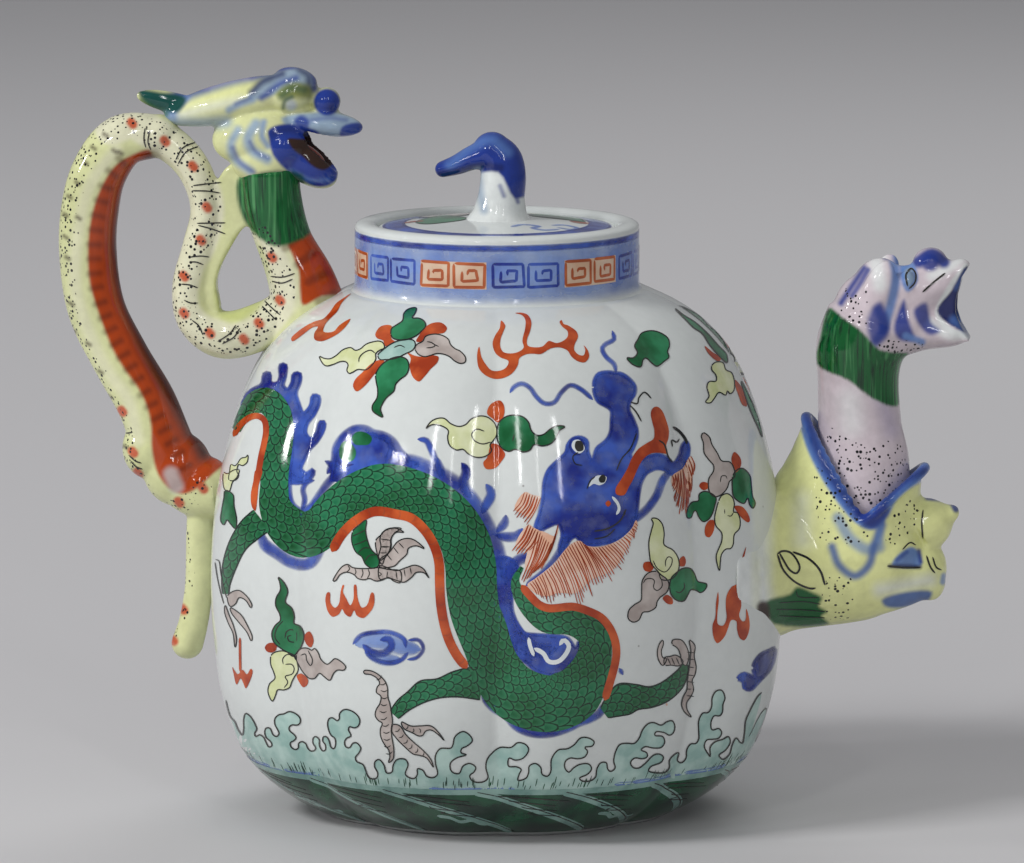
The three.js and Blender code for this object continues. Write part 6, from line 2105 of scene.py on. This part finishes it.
hoop("foam", FOAM_BAND, WAVE_TOP, "foot_band", FOOT_TURN_RADIUS)
period = round_px(FOOT_TURN_RADIUS, 360 / WAVES)


def in_wave(start, places):
    """Places as (pixels along from a wave's start, share of the way down)."""
    return [(start + along, -(WAVE_TOP - wave_depth * share) / PIXEL) for along, share in places]


def above_waves(rises):
    """A random height over the waves, in the band's pixels, from a span of millimetres."""
    return (WAVE_TOP + random.uniform(*rises) * MM) / PIXEL


for wave in range(WAVES):
    start = wave * period + random.uniform(-WAVE_JITTER, WAVE_JITTER)
    lean = WAVE_LEAN * random.uniform(*LEAN_SPAN)
    rim = [(lean * share, RIM_END * share**RIM_BEND) for share in np.linspace(0, 1, 7)]
    for share in WATER_LINES:
        reach = period * random.uniform(*WATER_REACH)
        bend, end = (share + drop for drop in WATER_DROPS)
        line = [(WATER_START + WATER_LEAN * share, share), (WATER_BEND * reach, bend), (reach, end)]
        brush("line", WATER_LINE, in_wave(start, line), "foot_band")
    if wave % 2:
        brush("foam", SPLASH_WIDTH, in_wave(start, SPLASH), "foot_band")
    brush("foam", RIM_FOAM, in_wave(start, rim), "foot_band")
    brush("line", RIM_LINE, in_wave(start + RIM_LINE_SHIFT, rim), "foot_band")
for _ in range(DASHES):
    at, long = random.uniform(0, WAVES * period), random.uniform(*DASH_LENGTHS)
    level = -above_waves(DASH_RISES)
    dash = [(at, level), (at + long / 2, level + DASH_BOW), (at + long, level)]
    brush("wash", random.uniform(*DASH_WIDTHS), dash, "foot_band", 5, soft=True)
for _ in range(TICKS):
    at = random.gauss(random.randrange(WAVES) * period, period / 4)
    tall, foot = random.uniform(*TICK_HEIGHTS), -above_waves(TICK_RISES)
    tick = [(at, foot), (at + 0.5, foot - tall / 2), (at + 1, foot - tall)]
    brush("sea", TICK_WIDTH, tick, "foot_band")
CREST = [
    (-1, 88), (-0.85, 108), (-0.62, 112), (-0.5, 98), (-0.62, 86), (-0.45, 76), (-0.3, 88),
    (-0.2, 80), (-0.05, 84), (0.1, 104), (0.35, 110), (0.48, 98), (0.36, 86), (0.5, 74), (0.66, 84),
    (0.8, 78), (1, 92),
]  # fmt: skip
CREST_FOOT = 56
CREST_HALVES = {0: 76, 180: 34}  # degrees round the pot: half the crest's length in pixels
for degrees, half in CREST_HALVES.items():
    middle = round_px(FOOT_TURN_RADIUS, degrees)
    crest = [(middle + half * along, -high) for along, high in CREST]
    foot = [(middle + half * along, -CREST_FOOT) for along in (1, 0, -1)]
    patch("celadon", crest + foot, "foot_band")
    brush("line", FOAM_LINE, crest, "foot_band")
print(WAVES, "waves", DASHES, "dashes", TICKS, "ticks")

# %% Key fret on the collar
FRET_LOW, FRET_HIGH = 129.5 * MM, 135.2 * MM
FRETS, FRET_START = 12, 3
FRET_GAP, KEY_GAP, KEY_LINE, KEY_STEP, KEY_WOBBLE = 1.5, 2, 3, 2.4, 0.5
KEY_MARGINS, GROUND_MARGINS = (3, 1), (1, 3)
KEY_FRAME = [0, 0, 1, 0, 1, 1, 0, 1, 0, 0.02]
KEY_COIL = [0.27, 0.3, 0.27, 0.74, 0.76, 0.74, 0.76, 0.32, 0.46, 0.32, 0.46, 0.53]
COLLAR_BANDS = [("wash", 64, 132.9 * MM), ("blue", 7, 138.8 * MM)]
for ink, width, height in COLLAR_BANDS:
    hoop(ink, width, height, "collar_band", COLLAR_RADIUS, across=9, soft=True)
fret_middle, fret_tall = -(FRET_LOW + FRET_HIGH) / 2 / PIXEL, (FRET_HIGH - FRET_LOW) / PIXEL
for pair in range(FRETS):
    begin, end = (FRET_START + (pair + step) * 360 / FRETS for step in (0, 1))
    low = round_px(COLLAR_RADIUS, begin + FRET_GAP)
    high = round_px(COLLAR_RADIUS, end - FRET_GAP)
    if pair % 2 == 0:
        past, taller = GROUND_MARGINS
        ground = [(at, fret_middle) for at in (low - past, (low + high) / 2, high + past)]
        brush("cream", fret_tall + taller, ground, "collar_band", 5, blunt=True)
    uneven = np.random.default_rng(pair)
    for key in (KEY_FRAME, KEY_COIL):
        for start in (low, (low + high) / 2 + KEY_GAP):
            size = ((high - low) / 2 - KEY_MARGINS[0], fret_tall - KEY_MARGINS[1])
            shape = pairs(key) * size + (start, -FRET_HIGH / PIXEL)
            corners, _ = even_steps(shape + uneven.normal(0, KEY_WOBBLE, shape.shape), KEY_STEP)
            brush(("brown", "blue")[pair % 2], KEY_LINE, corners, "collar_band")
print("frets", 2 * FRETS)

# %% Lid's ring and clouds
lid_edge = (WELL_RADIUS - LID_CLEARANCE) / PIXEL
LID_RINGS = [("blue", 21, 0.865), ("deep", 3, 0.95), ("deep", 3, 0.785)]
LID_CLOUDS = [
    ("leafgreen", 182, 0.47), ("leafgreen", 322, 0.6), ("lemon", 268, 0.6), ("lavender", 226, 0.62),
]  # fmt: skip
CLOUD_STRETCH, CLOUD_LINE = (1.3, 2), 1.2
CLOUD = [-26, 4, -16, -10, -4, -13, 10, -9, 22, -3, 34, 2, 22, 6, 8, 10, -8, 12, -18, 10]
LID_SWIRLS = [
    ("wash", 20, 56, 30, 40, 46, 44, 42, 56, 54, 62, 68, 50),
    ("wash", 58, 34, 70, 24, 84, 34, 78, 46, 64, 42), ("flame", -92, 10, -84, 4, -72, 8),
]  # fmt: skip
SWIRL_WIDTH = 9
turns = np.linspace(0, 2 * math.pi, 49)
for ink, width, share in LID_RINGS:
    ring = lid_edge * share * np.stack([np.cos(turns), np.sin(turns)], axis=1)
    brush(ink, width, ring, "lid_top", blunt=True)
for ink, degrees, share in LID_CLOUDS:
    out = np.array([math.cos(math.radians(degrees)), math.sin(math.radians(degrees))])
    shape = pairs(CLOUD) * CLOUD_STRETCH @ np.array([(-out[1], out[0]), out])
    shape = shape + lid_edge * share * out
    patch(ink, shape, "lid_top")
    brush("line", CLOUD_LINE, smooth_curve(shape, 3, closed=True), "lid_top", closed=True)
for ink, *numbers in LID_SWIRLS:
    for turn in (1, -1):
        brush(ink, SWIRL_WIDTH, pairs(numbers) * turn, "lid_top", 5, soft=True)
print("lid", len(LID_RINGS), "rings", len(LID_CLOUDS), "clouds")

# %% [markdown]
# Now the inks themselves. The blue sinks into the glaze, so its edge is soft; the enamels lie on
# top of it, thin and glassy. Each ink drifts between a darker and a lighter tint, as paint from a
# brush does.


# %% Inks
SCALE_LONG, SCALE_WIDE, ROWS_SHIFTED = 8.8, 9.6, 50
SCALE_DARK, SCALE_LIGHT = tint(10, 76, 38), tint(26, 106, 70)
SCALE_RIM, SCALE_SHINE = tint(6, 34, 24), tint(70, 150, 104)
RIM_SPAN, SHINE_SPAN, RIM_SHARE, SHINE_SHARE = (0.06, 0.14), (0.2, 0.95), 0.92, 0.35


def scales_colour(tree):
    """Rows of round scales, each dark at its rim and lighter towards it."""
    chart = add_node(tree, "ShaderNodeSeparateXYZ")
    wire(tree, attribute(tree, "chart", "Vector"), chart.inputs[0])
    row = math_node(tree, "DIVIDE", chart.outputs["X"], SCALE_LONG)
    whole = math_node(tree, "FLOOR", row)
    x = math_node(tree, "SUBTRACT", row, whole)
    shift = product(tree, math_node(tree, "MODULO", whole, 2), 0.5)
    column = math_node(tree, "DIVIDE", chart.outputs["Y"], SCALE_WIDE)
    column = math_node(tree, "ADD", math_node(tree, "ADD", column, ROWS_SHIFTED), shift)
    y = math_node(tree, "SUBTRACT", math_node(tree, "FRACT", column), 0.5)
    round_x, round_y = product(tree, x, x), product(tree, y, y, 4)
    reach = math_node(tree, "SQRT", math_node(tree, "ADD", round_x, round_y))
    off_rim = math_node(tree, "ABSOLUTE", math_node(tree, "SUBTRACT", reach, 1))
    rim = span_node(tree, off_rim, *RIM_SPAN, 1.0, 0.0)
    inside = span_node(tree, reach, *SHINE_SPAN)
    patchy = span_node(tree, noise_node(tree, object_place(tree), 90, 2), 0.4, 0.62)
    base = mix_node(tree, patchy, SCALE_DARK, SCALE_LIGHT)
    lit = mix_node(tree, product(tree, inside, SHINE_SHARE), base, SCALE_SHINE)
    return mix_node(tree, product(tree, rim, RIM_SHARE), lit, SCALE_RIM)


def streaky(low, high, scale):
    """A colour that drifts between two tints."""

    def colour(tree):
        share = span_node(tree, noise_node(tree, object_place(tree), scale, 3), 0.38, 0.62)
        return mix_node(tree, share, tint(*low), tint(*high))

    return colour


def see_through(finish, reach):
    """Lets an ink fade out by the fade value that its points carry."""
    tree = finish.node_tree
    shader = tree.nodes["Principled BSDF"]
    grain = span_node(tree, noise_node(tree, object_place(tree), 260, 3), 0.35, 0.65, 0.72, 1.0)
    cover = product(tree, attribute(tree, "fade"), grain, reach)
    wire(tree, cover, shader.inputs["Alpha"])


INK_ROWS = {
    # ink: (finish, slot, tone, darker tint, lighter tint, scale of its streaks)
    "blue": ("cobalt blue", "underglaze_blue", 0.12, (22, 40, 134), (62, 94, 188), 120),
    "deep": ("deep cobalt", "underglaze_blue", 0.12, (20, 32, 110), (42, 64, 158), 160),
    "wash": ("blue wash", "underglaze_blue", 0.06, (92, 124, 198), (136, 164, 222), 60),
    "celadon": ("celadon enamel", "green_enamel", 0.06, (148, 182, 174), (182, 208, 200), 160),
    "leafgreen": ("green enamel", "green_enamel", 0.12, (10, 86, 44), (46, 132, 88), 110),
    "line": ("black line", "green_enamel", 0.06, (26, 30, 30), (58, 56, 52), 160),
    "leg": ("black edge", "green_enamel", 0.06, (16, 34, 28), (30, 44, 38), 160),
    "sea": ("dark sea green", "green_enamel", 0.1, (14, 46, 34), (34, 88, 60), 160),
    "foam": ("pale sea green", "green_enamel", 0.06, (112, 150, 142), (150, 184, 174), 160),
    "lemon": ("lemon enamel", "yellow_glaze", 0.06, (206, 212, 158), (222, 226, 188), 160),
    "lavender": ("lavender enamel", "pink_glaze", 0.06, (166, 154, 148), (194, 184, 178), 160),
    "flame": ("iron red", "red_enamel", 0.1, (158, 54, 20), (200, 90, 42), 160),
    "ochre": ("pale orange wash", "red_enamel", 0.06, (220, 170, 142), (222, 202, 188), 160),
    "rust": ("rust line", "red_enamel", 0.06, (142, 56, 30), (184, 88, 52), 160),
    "brown": ("orange brown", "red_enamel", 0.06, (156, 72, 34), (184, 96, 52), 160),
    "white": ("white enamel", "white_glaze", 0.06, (208, 216, 220), (226, 230, 230), 160),
    "cream": ("cream ground", "white_glaze", 0.06, (206, 168, 138), (214, 190, 166), 160),
}
SEE_THROUGH = {"blue": 0.96, "deep": 0.98, "wash": 0.9}
INKS = {"scales": (glazed("scaly green", scales_colour, tone=0.1), "green_enamel")}
for ink, (finish, slot, tone, low, high, scale) in INK_ROWS.items():
    INKS[ink] = (glazed(finish, streaky(low, high, scale), tone=tone), slot)
for ink, reach in SEE_THROUGH.items():
    see_through(INKS[ink][0], reach)
print("inks", sorted(INKS))

# %% [markdown]
# All strokes of one ink and one number of rows become one piece, and so do all its patches.
# Each piece rides on the pot or on the lid, whichever its surface belongs to.


# %% Ink pieces
def ink_clay():
    """An empty mesh whose points will carry their place on the chart and their fade."""
    clay = bmesh.new()
    layers = clay.verts.layers
    return clay, layers.float_vector.new("chart"), layers.float.new("fade")


def ribbon_clay(strips):
    """All ribbons of one width of rows as one grid, cut between the ribbons."""
    across = strips[0][1]
    landed = [place for strip in strips for place in strip[0]]
    chart = np.concatenate([strip[2] for strip in strips])
    fade = np.concatenate([strip[3] for strip in strips])
    rows = len(landed) // across
    starts = set(np.cumsum([len(strip[0]) // across for strip in strips]).tolist())
    clay, chart_layer, fade_layer = ink_clay()
    grid = {"x_segments": rows - 1, "y_segments": across - 1, "size": 0.5}
    verts = bmesh.ops.create_grid(clay, **grid)["verts"]
    index = {}
    for vert in verts:
        row = round((vert.co.x + 0.5) * (rows - 1))
        index[vert] = (row, row * across + round((vert.co.y + 0.5) * (across - 1)))
    spare = []
    for face in clay.faces:
        held = [index[vert] for vert in face.verts]
        low = min(row for row, _ in held)
        places = [landed[at] for _, at in held]
        if low + 1 in starts or any(place is None for place in places):
            spare.append(face)
        elif max((places[0] - place).length for place in places) > LONGEST_EDGE:
            spare.append(face)
    for vert, (_, at) in index.items():
        if landed[at] is not None:
            vert.co = landed[at]
        vert[chart_layer] = (chart[at][0], chart[at][1], 0)
        vert[fade_layer] = fade[at]
    bmesh.ops.delete(clay, geom=spare, context="FACES")
    return clay


def sheet_clay(patches):
    """All patches of one ink as one mesh."""
    clay, chart_layer, fade_layer = ink_clay()
    for landed, faces, flat in patches:
        verts = [None if place is None else clay.verts.new(place) for place in landed]
        for vert, (u, v) in zip(verts, flat):
            if vert is not None:
                vert[chart_layer] = (u, v, 0)
                vert[fade_layer] = 1
        for face in faces:
            corners = [verts[at] for at in face]
            if None not in corners:
                clay.faces.new(corners)
    loose = [vert for vert in clay.verts if not vert.link_faces]
    bmesh.ops.delete(clay, geom=loose, context="VERTS")
    return clay


def ink_piece(name, clay, ink, body):
    mesh = bpy.data.meshes.new(name)
    clay.to_mesh(mesh)
    clay.free()
    mesh.shade_smooth()
    print(name, len(mesh.polygons), "faces")
    finish, slot = INKS[ink]
    place_piece(name, mesh, finish, body)


for (body, ink), patches in sheets.items():
    ink_piece("%s_%s_patches" % (body, ink), sheet_clay(patches), ink, body)
for (body, ink), strips in ribbons.items():
    for across in sorted({strip[1] for strip in strips}):
        same = [strip for strip in strips if strip[1] == across]
        ink_piece("%s_%s_strokes_%d" % (body, ink, across), ribbon_clay(same), ink, body)
